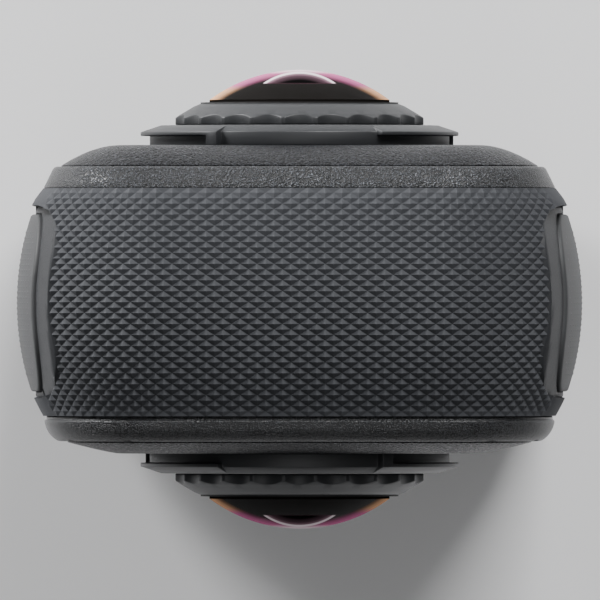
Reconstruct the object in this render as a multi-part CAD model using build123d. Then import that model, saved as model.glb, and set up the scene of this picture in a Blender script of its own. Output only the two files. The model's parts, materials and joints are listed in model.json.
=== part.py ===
from build123d import *
import math
import os

# A pocket camera that records the whole sphere around it with two fisheye lenses back to back.
# Millimetres. The camera stands upright: +Z is up, the rear (screen) side faces +Y, the front -Y,
# and the origin is the middle of the base. All pieces are drawn where they sit.

os.makedirs("parts", exist_ok=True)

# Body outline, seen from the front, at the crown of the middle band
body_height = 114.0
crown_half_width = 23.3
side_flat_inset = 1.7
crown_bottom_z = -0.9
top_corner_radius = 12.0
bottom_corner_radius = 9.0
least_corner_radius = 0.4
crown_radius = 19.0
frame_base_z = 0.4
side_flat_half_width = crown_half_width - side_flat_inset

# Depths of the seams between the shells
frame_rear_y = 9.0
frame_front_y = -9.45
front_groove = 0.35
rear_ease = 0.26
rear_ease_depth = 1.0
rear_seam_y = 10.75
front_seam_y = -11.5
face_y = 12.5

# Insets of each shell from the crown outline
frame_wall_inset = 4.1
bezel_inner_inset = 7.9
rear_bezel_low_inset = 2.54
rear_bezel_top_inset = 3.3
rear_bezel_edge = 0.2
front_bezel_low_inset = 2.6
front_bezel_mid_inset = 2.95
front_bezel_mid_drop = 1.0
front_bezel_top_inset = 3.75
rear_plate_rim_inset = 4.0
rear_plate_turn_inset = 6.6
plate_rim_height = 0.1
front_plate_rim_inset = 4.5
front_plate_turn_inset = 8.0
plate_flat_inset = 8.7

# Common fits
seat_gap = 0.05
slide_gap = 0.15
screw_gap = 0.03
overrun = 1.0
small_edge = 0.25

# Lens centres
lens_drop = 21.2
lens_axis_z = body_height - lens_drop

# Grip of moulded diamonds around the head of the camera
grip_depth = 0.8
grip_drop = 12.8
grip_low_z = lens_axis_z - grip_drop

# Wind screen pads over the microphones, and the scooped channel around each
pad_centre_y = -0.3
pad_half_depth = 7.2
pad_half_height = 12.9
pad_corner_radius = 5.0
pad_crown_sink = 0.3
pad_crown_radius = 22.8
pad_rise_radius = 64.0
pad_edge = 0.3
pad_seat_sink = 1.3
channel_sink = 0.3
channel_front_y = -8.0
channel_rear_y = 7.6
channel_top_drop = 4.1
channel_drop = 14.2
channel_corner_radius = 4.6
mic_port_radius = 0.6
mic_port_spread = 5.0
mic_size = 3.0
mic_thickness = 1.1
pad_crown_x = crown_half_width - pad_crown_sink
pad_turn_x = pad_crown_x - pad_rise_radius
pad_plane = Plane(origin=(0, 0, lens_axis_z))
pad_turn_axis = Axis((pad_turn_x, 0, lens_axis_z), (0, 1, 0))
pad_seat_x = side_flat_half_width - pad_seat_sink
channel_low_z = lens_axis_z - channel_drop
channel_high_z = body_height - channel_top_drop
frame_inner_x = crown_half_width - frame_wall_inset


def face_plane(y):
    """Plane across the camera at one depth, with drawings in X and Z."""
    return Plane(origin=(0, y, 0), x_dir=(1, 0, 0), z_dir=(0, -1, 0))


def across(sketch, y_low, y_high):
    """Prism of an X and Z drawing between two depths."""
    return extrude(face_plane(y_high) * sketch, amount=y_high - y_low)


def side_plane(x):
    """Plane along the camera's side, with drawings in Y and Z."""
    return Plane(origin=(x, 0, 0), x_dir=(0, 1, 0), z_dir=(1, 0, 0))


def sideways(sketch, x_low, x_high):
    """Prism of a Y and Z drawing between two widths."""
    return extrude(side_plane(x_low) * sketch, amount=x_high - x_low)


def block(x_low, x_high, y_low, y_high, z_low, z_high):
    """Box between two corners."""
    middle = ((x_low + x_high) / 2, (y_low + y_high) / 2, (z_low + z_high) / 2)
    return Pos(*middle) * Box(x_high - x_low, y_high - y_low, z_high - z_low)


def rod_y(x, z, radius, y_low, y_high):
    """Round rod along Y."""
    return across(Pos(x, z) * Circle(radius), y_low, y_high)


def rod_x(y, z, radius, x_low, x_high):
    """Round rod along X."""
    return sideways(Pos(y, z) * Circle(radius), x_low, x_high)


def rounded(width, height, radius):
    """Rectangle with one corner radius."""
    return RectangleRounded(width, height, radius)


def mirrored(piece):
    """The same piece on the other side of the camera."""
    return mirror(piece, about=Plane.YZ)


def to_front(piece):
    """A rear lens piece turned to the front lens."""
    return Rot(0, 0, 180) * piece


def save(piece, node):
    """Write one named sub-part."""
    piece.label = node
    export_step(piece, f"parts/{node}.step")


def crown_inset(y):
    """How far the crowned band lies inside its outline at one depth."""
    return crown_radius - math.sqrt(crown_radius**2 - y**2)


def outline(inset):
    """Face outline of the body, this far inside the crown outline."""
    half_width = crown_half_width - inset
    top = body_height - inset
    bottom = crown_bottom_z + inset
    sheet = Pos(0, (top + bottom) / 2) * Rectangle(2 * half_width, top - bottom)
    top_radius = max(top_corner_radius - inset, least_corner_radius)
    bottom_radius = max(bottom_corner_radius - inset, least_corner_radius)
    sheet = fillet(sheet.vertices().sort_by(Axis.Y)[2:], top_radius)
    return fillet(sheet.vertices().sort_by(Axis.Y)[:2], bottom_radius)


def outline_path():
    """The crown outline as one closed path that starts halfway up the right side."""
    start = (crown_half_width, body_height / 2)
    right_top = (crown_half_width, body_height - top_corner_radius)
    right_side = Line(start, right_top)
    corner_1 = JernArc(right_side @ 1, right_side % 1, top_corner_radius, 90)
    top_side = Line(corner_1 @ 1, (top_corner_radius - crown_half_width, body_height))
    corner_2 = JernArc(top_side @ 1, top_side % 1, top_corner_radius, 90)
    left_side = Line(corner_2 @ 1, (-crown_half_width, crown_bottom_z + bottom_corner_radius))
    corner_3 = JernArc(left_side @ 1, left_side % 1, bottom_corner_radius, 90)
    base_side = Line(corner_3 @ 1, (crown_half_width - bottom_corner_radius, crown_bottom_z))
    corner_4 = JernArc(base_side @ 1, base_side % 1, bottom_corner_radius, 90)
    last_side = Line(corner_4 @ 1, start)
    sides = [right_side, corner_1, top_side, corner_2, left_side, corner_3, base_side, corner_4, last_side]
    return face_plane(0) * Wire([edge for side in sides for edge in side.edges()])


def band(edges):
    """Ring around the body from a closed section drawn in inset and depth."""
    plane = Plane(origin=(crown_half_width, 0, body_height / 2), x_dir=(-1, 0, 0), z_dir=(0, 0, -1))
    return sweep(plane * make_face(edges), path=outline_path())


def closed_lines(points):
    """Straight edges through the points and back to the first."""
    return Polyline(*points, close=True).edges()


# Crowned middle frame, with bosses for the case screws
boss_inset = 5.9
boss_radius = 2.3
boss_middle_drop = 12.3
screw_radius = 0.7
screw_head_radius = 1.4
screw_head_height = 0.8
screw_head_depth = 0.85
screw_bite = 5.0
screw_drive_share = 0.8
boss_middle_z = lens_axis_z - boss_middle_drop


def boss_places():
    """X and Z of the six case screws, the corner ones on the corner diagonals."""
    half_width = crown_half_width - boss_inset
    diagonal_share = 1 - 1 / math.sqrt(2)
    top_in = (top_corner_radius - boss_inset) * diagonal_share
    low_in = (bottom_corner_radius - boss_inset) * diagonal_share
    top_z = body_height - boss_inset - top_in
    low_z = crown_bottom_z + boss_inset + low_in
    right = [(half_width - top_in, top_z), (half_width, boss_middle_z), (half_width - low_in, low_z)]
    return right + [(-x, z) for x, z in right]


def eased_edge(outer, y_high):
    """Section points where the crown stops short of the band's rear edge, and on that edge."""
    y_turn = y_high - rear_ease_depth
    return (outer + crown_inset(y_turn), y_turn), (outer + crown_inset(y_high) + rear_ease, y_high)


def crown_section(outer, inner, y_low, y_high):
    """Section of the crowned band between two insets, the outer one following the crown."""
    low = (outer + crown_inset(y_low), y_low)
    turn, high = eased_edge(outer, y_high)
    arc = ThreePointArc(low, (outer, 0), turn)
    back = Polyline(turn, high, (inner, y_high), (inner, y_low), low)
    return arc.edges() + back.edges()


def crown_skin(outer, inner, y_low, y_high):
    """Section of a skin of even thickness that follows the crown."""
    shift = inner - outer
    inner_radius = crown_radius - shift
    inner_low = inner + inner_radius - math.sqrt(inner_radius**2 - y_low**2)
    inner_high = inner + inner_radius - math.sqrt(inner_radius**2 - y_high**2)
    low = (outer + crown_inset(y_low), y_low)
    turn, high = eased_edge(outer, y_high)
    outer_arc = ThreePointArc(low, (outer, 0), turn)
    inner_arc = ThreePointArc((inner_high, y_high), (inner, 0), (inner_low, y_low))
    ends = [Polyline(turn, high, (inner_high, y_high)), Line((inner_low, y_low), low)]
    return outer_arc.edges() + inner_arc.edges() + [edge for end in ends for edge in end.edges()]


def pad_prism(gap, x_low):
    """Upright rounded block of the right pad's outline, this much larger all round."""
    depth = 2 * (pad_half_depth + gap)
    height = 2 * (pad_half_height + gap)
    sheet = Pos(pad_centre_y, lens_axis_z) * rounded(depth, height, pad_corner_radius + gap)
    return sideways(sheet, x_low, crown_half_width + overrun)


def pad_form(sink, depth_reach, height_reach, back_x):
    """Solid behind the right pad's domed face, sunk by this much, out to these reaches in Y and in Z."""
    crown_x = pad_crown_x - sink
    radius = pad_crown_radius - sink
    edge_x = crown_x - radius + math.sqrt(radius**2 - depth_reach**2)
    low = (edge_x, pad_centre_y - depth_reach)
    high = (edge_x, pad_centre_y + depth_reach)
    dome = ThreePointArc(low, (crown_x, pad_centre_y), high)
    back = Polyline(high, (back_x, pad_centre_y + depth_reach), (back_x, pad_centre_y - depth_reach), low)
    section = pad_plane * make_face(dome.edges() + back.edges())
    sweep_angle = 2 * math.degrees(math.asin(height_reach / pad_rise_radius))
    form = revolve(section, axis=pad_turn_axis, revolution_arc=sweep_angle)
    return form.rotate(pad_turn_axis, -sweep_angle / 2)


def channel_prism():
    """Rounded block, drawn from the side, that the right channel is cut with."""
    depth = channel_rear_y - channel_front_y
    height = channel_high_z - channel_low_z
    centre = ((channel_front_y + channel_rear_y) / 2, (channel_high_z + channel_low_z) / 2)
    sheet = Pos(*centre) * rounded(depth, height, channel_corner_radius)
    return sideways(sheet, 0, crown_half_width + overrun)


def channel_cutter():
    """What the right channel takes out of the frame: down to a floor parallel with the pad's face."""
    depth_reach = channel_rear_y - pad_centre_y + overrun
    height_reach = channel_high_z - lens_axis_z + overrun
    kept = pad_form(channel_sink, depth_reach, height_reach, -overrun)
    return channel_prism() - kept + pad_prism(seat_gap, pad_seat_x)


right_channel = channel_cutter()
left_channel = mirrored(right_channel)

# Doors in the flat sides: battery bay on the left, charging port on the right
door_thickness = 1.8
door_corner_radius = 2.0
hinge_radius = 0.85
pin_radius = 0.4
pin_running_gap = 0.05
pin_hold = 1.2
seal_width = 0.8
seal_reach = 0.5
bay_door_low_z = 9.0
bay_door_top_gap = 5.1
bay_door_half_depth = 6.9
bay_mouth_margin_y = 0.8
bay_mouth_margin_z = 2.6
port_door_low_z = 12.0
port_door_height = 20.0
port_door_half_depth = 6.0
port_mouth_margin_y = 1.6
port_mouth_margin_z = 3.2
bay_door_high_z = channel_low_z - bay_door_top_gap
port_door_high_z = port_door_low_z + port_door_height
door_inner_x = side_flat_half_width - door_thickness
hinge_x = side_flat_half_width - hinge_radius


def door_plate(low_z, high_z, half_depth):
    """Right-hand door: a flat plate that ends in a hinge knuckle along its lower edge."""
    hinge_z = low_z + hinge_radius
    sheet = Pos(0, (hinge_z + high_z) / 2) * Rectangle(2 * half_depth, high_z - hinge_z)
    sheet = fillet(sheet.vertices().sort_by(Axis.Y)[2:], door_corner_radius)
    plate = sideways(sheet, door_inner_x, side_flat_half_width)
    knuckle = rod_y(hinge_x, hinge_z, hinge_radius, -half_depth, half_depth)
    bore = rod_y(hinge_x, hinge_z, pin_radius + pin_running_gap, -half_depth, half_depth)
    return plate + knuckle - bore


def door_pin(low_z, half_depth):
    """Hinge pin of a right-hand door, held at both ends in the frame."""
    reach = half_depth + slide_gap + pin_hold
    return rod_y(hinge_x, low_z + hinge_radius, pin_radius, -reach, reach)


def door_pocket(low_z, high_z, half_depth):
    """Room for a right-hand door in the frame."""
    depth = 2 * (half_depth + slide_gap)
    height = high_z - low_z + 2 * slide_gap
    sheet = Pos(0, (low_z + high_z) / 2) * Rectangle(depth, height)
    sheet = fillet(sheet.vertices().sort_by(Axis.Y)[2:], door_corner_radius + slide_gap)
    return sideways(sheet, door_inner_x - seat_gap, crown_half_width + overrun)


def door_mouth(low_z, high_z, half_depth, margin_y, margin_z):
    """Drawing of the opening behind a door, this far inside the door's own edge."""
    height = high_z - low_z - 2 * margin_z
    return Pos(0, (low_z + high_z) / 2) * rounded(2 * (half_depth - margin_y), height, door_corner_radius)


def door_seal(low_z, high_z, half_depth, margin_y, margin_z):
    """Rubber ring on the inner face of a right-hand door, just inside the mouth."""
    outer = door_mouth(low_z, high_z, half_depth, margin_y + slide_gap, margin_z + slide_gap)
    inner_y = margin_y + slide_gap + seal_width
    inner_z = margin_z + slide_gap + seal_width
    inner = door_mouth(low_z, high_z, half_depth, inner_y, inner_z)
    return sideways(outer - inner, door_inner_x - seal_reach, door_inner_x)


bay_door_sizes = (bay_door_low_z, bay_door_high_z, bay_door_half_depth)
bay_mouth_sizes = (*bay_door_sizes, bay_mouth_margin_y, bay_mouth_margin_z)
port_door_sizes = (port_door_low_z, port_door_high_z, port_door_half_depth)
port_mouth_sizes = (*port_door_sizes, port_mouth_margin_y, port_mouth_margin_z)

# Latch that slides up and down in the battery door
latch_travel = 2.2
latch_plate_height = 7.0
latch_plate_depth = 6.4
latch_plate_thickness = 0.65
latch_tongue_depth = 4.4
latch_tongue_thickness = 0.8
latch_tongue_share = 0.72
latch_drop = 13.5
latch_rib_count = 4
latch_rib_height = 0.6
latch_rib_depth = 0.35
latch_rib_share = 0.8
keeper_gap = 0.2

latch_low_z = bay_door_high_z - latch_drop
latch_plate_x = side_flat_half_width - latch_plate_thickness - latch_rib_depth
latch_high_z = latch_low_z + latch_plate_height
tongue_high_z = bay_door_high_z - slide_gap
tongue_inner_x = latch_plate_x - latch_tongue_thickness


def latch_piece():
    """Right-hand latch: a ribbed plate in the door's recess, with a tongue behind it."""
    middle_z = (latch_low_z + latch_high_z) / 2
    plate = sideways(
        Pos(0, middle_z) * rounded(latch_plate_depth, latch_plate_height, small_edge),
        latch_plate_x,
        latch_plate_x + latch_plate_thickness,
    )
    pitch = latch_plate_height / latch_rib_count
    for step in range(latch_rib_count):
        z = latch_low_z + pitch * (step + 0.5)
        rib_low = latch_plate_x + latch_plate_thickness
        rib_sheet = Pos(0, z) * Rectangle(latch_plate_depth * latch_rib_share, latch_rib_height)
        plate += sideways(rib_sheet, rib_low, rib_low + latch_rib_depth)
    tongue_low_z = latch_high_z - latch_plate_height * latch_tongue_share
    half = latch_tongue_depth / 2
    tongue = block(tongue_inner_x, latch_plate_x, -half, half, tongue_low_z, tongue_high_z)
    return plate + tongue


def latch_room():
    """Recess for the latch plate and the channel for its tongue, cut from a right-hand door."""
    half = latch_plate_depth / 2 + slide_gap
    low = latch_low_z - slide_gap
    high = latch_high_z + latch_travel + slide_gap
    recess = block(latch_plate_x - seat_gap, side_flat_half_width + overrun, -half, half, low, high)
    half = latch_tongue_depth / 2 + slide_gap
    inner = tongue_inner_x - slide_gap
    tongue_low_z = latch_high_z - latch_plate_height * latch_tongue_share - slide_gap
    channel = block(inner, latch_plate_x + seat_gap, -half, half, tongue_low_z, bay_door_high_z + overrun)
    return recess + channel


def keeper_slot():
    """Slot in the frame above the right-hand door that the tongue slides into."""
    half = latch_tongue_depth / 2 + keeper_gap
    top = tongue_high_z + latch_travel + keeper_gap
    inner = tongue_inner_x - keeper_gap
    return block(inner, latch_plate_x + keeper_gap, -half, half, bay_door_high_z - slide_gap, top)


# Pill-shaped keys in the right side
side_key_length = 9.0
side_key_depth = 4.4
side_key_proud = 0.35
side_key_travel = 0.5
side_key_collar = 0.6
side_key_collar_thickness = 0.6
side_key_rest_gap = 0.2
power_key_drop = 11.6
side_key_spacing = 14.0
switch_body = 3.0
switch_height = 1.4
switch_plate_thickness = 0.8
switch_plate_depth = 8.0
switch_plate_margin = 4.0
power_key_z = channel_low_z - power_key_drop
quick_key_z = power_key_z - side_key_spacing


def slot_sheet(length, depth, z):
    """Pill drawn from the side, standing upright."""
    return Pos(0, z) * Rot(0, 0, 90) * SlotOverall(length, depth)


def side_key(z):
    """Key cap with a collar behind the frame's wall that keeps it in."""
    cap = sideways(
        slot_sheet(side_key_length, side_key_depth, z),
        frame_inner_x - side_key_rest_gap,
        side_flat_half_width + side_key_proud,
    )
    cap = fillet(cap.faces().sort_by(Axis.X)[-1].edges(), small_edge)
    collar_length = side_key_length + 2 * side_key_collar
    collar_depth = side_key_depth + 2 * side_key_collar
    collar_high = frame_inner_x - side_key_rest_gap
    sheet = slot_sheet(collar_length, collar_depth, z)
    return cap + sideways(sheet, collar_high - side_key_collar_thickness, collar_high)


def side_key_hole(z):
    """Hole for one key through the frame's side."""
    sheet = slot_sheet(side_key_length + 2 * slide_gap, side_key_depth + 2 * slide_gap, z)
    return sideways(sheet, 0, crown_half_width + overrun)


# Base: a rubber foot in a shallow pocket, and the tripod bush that goes through it
foot_width = 27.0
foot_depth = 12.2
foot_corner_radius = 3.0
foot_thickness = 1.9
bush_radius = 4.0
bush_mouth_z = 0.3
bush_length = 8.2
bush_flange_radius = 5.6
bush_flange_thickness = 1.2
tripod_thread_radius = 2.55
tripod_thread_depth = 6.5
frame_floor_z = crown_bottom_z + frame_wall_inset


def foot_sheet(gap):
    """Drawing of the foot, seen from below."""
    return RectangleRounded(foot_width + 2 * gap, foot_depth + 2 * gap, foot_corner_radius + gap)


def middle_frame():
    """The crowned band, flat at its base and sides, with bosses, channels and openings."""
    shell = band(crown_section(0, frame_wall_inset, frame_front_y, frame_rear_y))
    skin = band(crown_skin(0, grip_depth, frame_front_y, frame_rear_y))
    head = block(-crown_half_width, crown_half_width, frame_front_y, frame_rear_y, grip_low_z, body_height)
    shell -= (skin & head) - channel_prism() - mirrored(channel_prism())
    for x, z in boss_places():
        wall = across(outline(frame_wall_inset - seat_gap), frame_front_y, frame_rear_y)
        boss = rod_y(x, z, boss_radius, frame_front_y, frame_rear_y) & wall
        shell += boss
    shell &= block(
        -side_flat_half_width, side_flat_half_width, frame_front_y, frame_rear_y, frame_base_z, body_height
    )
    for x, z in boss_places():
        shell -= rod_y(x, z, screw_radius + screw_gap, frame_front_y, frame_rear_y)
    shell -= right_channel
    shell -= left_channel
    shell -= mirrored(door_pocket(*bay_door_sizes))
    shell -= mirrored(sideways(door_mouth(*bay_mouth_sizes), 0, crown_half_width))
    shell -= mirrored(keeper_slot())
    shell -= mirrored(door_pin(bay_door_low_z, bay_door_half_depth))
    shell -= door_pocket(*port_door_sizes)
    shell -= sideways(door_mouth(*port_mouth_sizes), 0, crown_half_width)
    shell -= door_pin(port_door_low_z, port_door_half_depth)
    shell -= side_key_hole(power_key_z)
    shell -= side_key_hole(quick_key_z)
    for side in (-1, 1):
        for spread in (-mic_port_spread, mic_port_spread):
            y = pad_centre_y
            reach = side * (crown_half_width + overrun)
            low, high = sorted((0, reach))
            shell -= rod_x(y, lens_axis_z + spread, mic_port_radius, low, high)
    shell -= extrude(foot_sheet(seat_gap), amount=foot_thickness)
    shell -= extrude(Circle(bush_radius), amount=frame_floor_z + overrun)
    return shell


frame = middle_frame()
save(frame, "middle_frame")


def head_grip():
    """Skin of moulded diamonds over the head, from channel to channel."""
    skin = band(crown_skin(0, grip_depth, frame_front_y, frame_rear_y))
    skin &= block(
        -side_flat_half_width, side_flat_half_width, frame_front_y, frame_rear_y, grip_low_z, body_height
    )
    return skin - channel_prism() - mirrored(channel_prism())


save(head_grip(), "head_grip")

# Rear and front bezels
rear_bezel_section = closed_lines(
    [
        (rear_bezel_low_inset, frame_rear_y),
        (rear_bezel_top_inset, rear_seam_y - rear_bezel_edge),
        (rear_bezel_top_inset + rear_bezel_edge, rear_seam_y),
        (bezel_inner_inset, rear_seam_y),
        (bezel_inner_inset, frame_rear_y),
    ]
)
front_bezel_low_y = frame_front_y - front_groove
front_bezel_mid_y = front_bezel_low_y - front_bezel_mid_drop
front_bezel_curve = ThreePointArc(
    (front_bezel_low_inset, front_bezel_low_y),
    (front_bezel_mid_inset, front_bezel_mid_y),
    (front_bezel_top_inset, front_seam_y),
)
front_bezel_back = Polyline(
    (front_bezel_top_inset, front_seam_y),
    (bezel_inner_inset, front_seam_y),
    (bezel_inner_inset, frame_front_y),
    (front_bezel_low_inset + front_groove / 2, frame_front_y),
    (front_bezel_low_inset + front_groove / 2, front_bezel_low_y),
    (front_bezel_low_inset, front_bezel_low_y),
)


def case_screw(x, z, seam_y, side):
    """Case screw from one side: side is 1 from the rear and -1 from the front."""
    head_y = seam_y - side * (screw_head_depth - screw_head_height)
    neck_y = seam_y - side * screw_head_depth
    tip_y = neck_y - side * screw_bite
    head = rod_y(x, z, screw_head_radius, *sorted((head_y, neck_y)))
    shank = rod_y(x, z, screw_radius, *sorted((neck_y, tip_y)))
    drive_y = sorted((head_y, head_y - side * screw_head_height / 2))
    drive = rod_y(x, z, screw_radius * screw_drive_share, *drive_y)
    return head + shank - drive


def screw_holes(seam_y, side):
    """Counterbored holes for the six case screws of one bezel."""
    holes = []
    for x, z in boss_places():
        neck_y = seam_y - side * screw_head_depth
        wide = rod_y(x, z, screw_head_radius + screw_gap, *sorted((neck_y, seam_y + side * overrun)))
        narrow = rod_y(x, z, screw_radius + screw_gap, *sorted((neck_y - side * screw_bite, neck_y)))
        holes.append(wide + narrow)
    return holes


rear_bezel = band(rear_bezel_section)
front_bezel = band(front_bezel_curve.edges() + front_bezel_back.edges())
for hole in screw_holes(rear_seam_y, 1):
    rear_bezel -= hole
for hole in screw_holes(front_seam_y, -1):
    front_bezel -= hole
save(rear_bezel, "rear_bezel")
save(front_bezel, "front_bezel")
rear_screws = [case_screw(x, z, rear_seam_y, 1) for x, z in boss_places()]
front_screws = [case_screw(x, z, front_seam_y, -1) for x, z in boss_places()]
save(Compound(children=rear_screws), "rear_case_screws")
save(Compound(children=front_screws), "front_case_screws")

# Lens pieces, drawn for the rear lens in radius and depth, then turned to the front
mount_neck_radius = 10.3
mount_neck_y = 9.9
mount_wall_radius = 12.2
mount_ear_radius = 12.95
mount_ear_y = 13.3
mount_edge_y = 13.6
mount_top_y = 14.15
mount_top_radius = 11.3
mount_floor_y = 12.2
mount_recess_radius = 9.9
mount_lip_y = 13.35
mount_lip_radius = 8.66
ear_angles = [(121.5, 200), (-20, 59), (245, 295)]
stop_angles = [(121.5, 126), (-20, -14)]
lug_angle = 26
lug_slot_angle = 32
lug_first_angle = 30
unlock_angle = 35
lug_radius = 9.6
lug_low_y = 12.75
lug_high_y = 13.3
spigot_radius = 8.6
spigot_bore_radius = 7.3
ring_low_y = 14.2
ring_radius = 10.18
ring_cone_y = 14.76
ring_face_y = 15.9
ring_face_radius = 8.1
ring_shoulder_y = 15.72
ring_shoulder_radius = 8.55
ring_seat_y = 15.2
ring_lip_radius = 6.95
ring_lip_y = 14.4
scallop_count = 24
scallop_radius = 2.15
scallop_depth = 0.42
dome_radius = 12.2
dome_tip_y = 18.675
dome_rim_radius = 7.33
dome_thickness = 1.2
dome_hollow_radius = 6.2
gasket_outer_radius = 7.72
gasket_lip_radius = 8.05
gasket_lip_y = 16.03
barrel_radius = 6.6
barrel_step_y = 8.5
barrel_thin_radius = 5.6
barrel_low_y = 3.0
barrel_top_y = 14.9
barrel_mouth_y = 14.0
barrel_bore_radius = 4.3
second_radius = 5.0
second_tip_y = 16.9
second_curve_radius = 7.0
second_back_y = 15.2
third_low_y = 10.0
third_high_y = 12.6
fourth_low_y = 4.4
fourth_high_y = 7.4
element_bulge = 0.7
barrel_fit = 0.04
mount_screw_circle = 11.3
mount_screw_radius = 0.45
mount_screw_head_radius = 0.85
mount_screw_head = 0.5
mount_screw_bite = 1.6
mount_screw_angles = [60, 150, 240, 330]

lens_plane = Plane(origin=(0, 0, lens_axis_z))
lens_axis = Axis((0, 0, lens_axis_z), (0, 1, 0))


def turned(edges):
    """Solid of revolution about the lens axis from a closed section in radius and depth."""
    return revolve(lens_plane * make_face(edges), axis=lens_axis)


def sector(points, start, stop):
    """Part of a ring about the lens axis, between two angles counted from +X towards +Z."""
    section = lens_plane * make_face(closed_lines(points))
    return revolve(section, axis=lens_axis, revolution_arc=stop - start).rotate(lens_axis, -stop)


def ring_points(inner, outer, y_low, y_high):
    """Corners of a square section between two radii and two depths."""
    return [(inner, y_low), (outer, y_low), (outer, y_high), (inner, y_high)]


def lug_starts(shift):
    """First angles of three equal features around the lens axis."""
    return [lug_first_angle + shift + 120 * step for step in range(3)]


def lens_mount():
    """Fixed bayonet: a neck through the face plate, ears for lens guards, and lips that hold the ring."""
    body = turned(
        closed_lines(
            [
                (barrel_radius + barrel_fit, mount_neck_y),
                (mount_neck_radius, mount_neck_y),
                (mount_neck_radius, face_y),
                (mount_wall_radius, face_y),
                (mount_wall_radius, mount_edge_y),
                (mount_top_radius, mount_top_y),
                (mount_lip_radius, mount_top_y),
                (mount_lip_radius, mount_lip_y),
                (mount_recess_radius, mount_lip_y),
                (mount_recess_radius, mount_floor_y),
                (barrel_radius + barrel_fit, mount_floor_y),
            ]
        )
    )
    ear = [
        (mount_top_radius, mount_ear_y),
        (mount_ear_radius, mount_ear_y),
        (mount_ear_radius, mount_edge_y),
        (mount_top_radius, mount_top_y),
    ]
    for start, stop in ear_angles:
        body += sector(ear, start, stop)
    for start, stop in stop_angles:
        body += sector(ring_points(mount_top_radius, mount_ear_radius, face_y, mount_edge_y), start, stop)
    slot_inner = mount_lip_radius - overrun
    slot = ring_points(slot_inner, lug_radius + slide_gap, mount_lip_y - seat_gap, mount_top_y)
    extra = (lug_slot_angle - lug_angle) / 2
    for start in lug_starts(-unlock_angle - extra):
        body -= sector(slot, start, start + lug_slot_angle)
    return body


def mount_screw_places():
    """X and Z of the four screws that hold a lens mount."""
    turns = [math.radians(angle) for angle in mount_screw_angles]
    reach = mount_screw_circle
    return [(reach * math.cos(turn), lens_axis_z + reach * math.sin(turn)) for turn in turns]


def lens_ring():
    """Scalloped ring that carries the dome and locks under the mount's lips with three lugs."""
    ring = turned(
        closed_lines(
            [
                (spigot_radius, lug_low_y),
                (spigot_radius, ring_low_y),
                (ring_radius, ring_low_y),
                (ring_radius, ring_cone_y),
                (ring_shoulder_radius, ring_shoulder_y),
                (ring_face_radius, ring_face_y),
                (gasket_outer_radius, ring_face_y),
                (gasket_outer_radius, ring_seat_y),
                (ring_lip_radius, ring_seat_y),
                (ring_lip_radius, ring_lip_y),
                (spigot_bore_radius, ring_low_y),
                (spigot_bore_radius, lug_low_y),
            ]
        )
    )
    centre_radius = ring_radius + scallop_radius - scallop_depth
    for step in range(scallop_count):
        turn = math.radians(90 + 360 * step / scallop_count)
        x = centre_radius * math.cos(turn)
        z = lens_axis_z + centre_radius * math.sin(turn)
        ring -= rod_y(x, z, scallop_radius, ring_low_y, ring_face_y)
    lug = ring_points(spigot_radius - seat_gap, lug_radius, lug_low_y, lug_high_y)
    for start in lug_starts(0):
        ring += sector(lug, start, start + lug_angle)
    return ring


def arc_from_axis(tip_y, radius, at_radius):
    """Arc of a sphere's section from the lens axis out to one radius."""
    centre_y = tip_y - radius
    end_y = centre_y + math.sqrt(radius**2 - at_radius**2)
    middle_share = 0.5
    middle = at_radius * middle_share
    middle_y = centre_y + math.sqrt(radius**2 - middle**2)
    return ThreePointArc((0, tip_y), (middle, middle_y), (at_radius, end_y))


def lens_dome():
    """Outer lens: a thick meniscus, hollowed behind."""
    outer = arc_from_axis(dome_tip_y, dome_radius, dome_rim_radius)
    hollow_tip_y = dome_tip_y - dome_thickness
    centre_y = hollow_tip_y - dome_hollow_radius
    inner_rim = math.sqrt(dome_hollow_radius**2 - (ring_seat_y - centre_y) ** 2)
    inner = arc_from_axis(hollow_tip_y, dome_hollow_radius, inner_rim)
    rim = Polyline(outer @ 1, (dome_rim_radius, ring_seat_y), inner @ 1)
    middle = Line(inner @ 0, outer @ 0)
    return turned(outer.edges() + rim.edges() + inner.edges() + middle.edges())


def lens_gasket():
    """Black seal between dome and ring, with a thin lip over the ring's face."""
    return turned(
        closed_lines(
            [
                (dome_rim_radius, ring_seat_y),
                (gasket_outer_radius, ring_seat_y),
                (gasket_outer_radius, ring_face_y),
                (gasket_lip_radius, ring_face_y),
                (gasket_lip_radius, gasket_lip_y),
                (dome_rim_radius, gasket_lip_y),
            ]
        )
    )


def lens_barrel():
    """Stepped tube that holds the inner elements."""
    return turned(
        closed_lines(
            [
                (barrel_bore_radius, barrel_low_y),
                (barrel_thin_radius, barrel_low_y),
                (barrel_thin_radius, barrel_step_y),
                (barrel_radius, barrel_step_y),
                (barrel_radius, barrel_top_y),
                (second_radius, barrel_top_y),
                (second_radius, barrel_mouth_y),
                (barrel_bore_radius, barrel_mouth_y),
            ]
        )
    )


def element(low_y, high_y):
    """Biconvex inner element that fills the barrel's bore."""
    radius = barrel_bore_radius
    tip_y = high_y + element_bulge
    top = ThreePointArc((-radius, high_y), (0, tip_y), (radius, high_y))
    half = Polyline((0, tip_y), (0, low_y - element_bulge), (radius, low_y), (radius, high_y))
    upper = top.trim(1 / 2, 1)
    return turned(half.edges() + upper.edges())


def inner_elements():
    """Second dome at the barrel's mouth and two elements further in."""
    outer = arc_from_axis(second_tip_y, second_curve_radius, second_radius)
    hollow = ThreePointArc(
        (-barrel_bore_radius, barrel_mouth_y), (0, second_back_y), (barrel_bore_radius, barrel_mouth_y)
    ).trim(1 / 2, 1)
    rim = Polyline(outer @ 1, (second_radius, barrel_mouth_y), (barrel_bore_radius, barrel_mouth_y))
    middle = Line((0, second_back_y), outer @ 0)
    second = turned(outer.edges() + rim.edges() + hollow.edges() + middle.edges())
    third = element(third_low_y, third_high_y)
    fourth = element(fourth_low_y, fourth_high_y)
    return [second, third, fourth]


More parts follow.
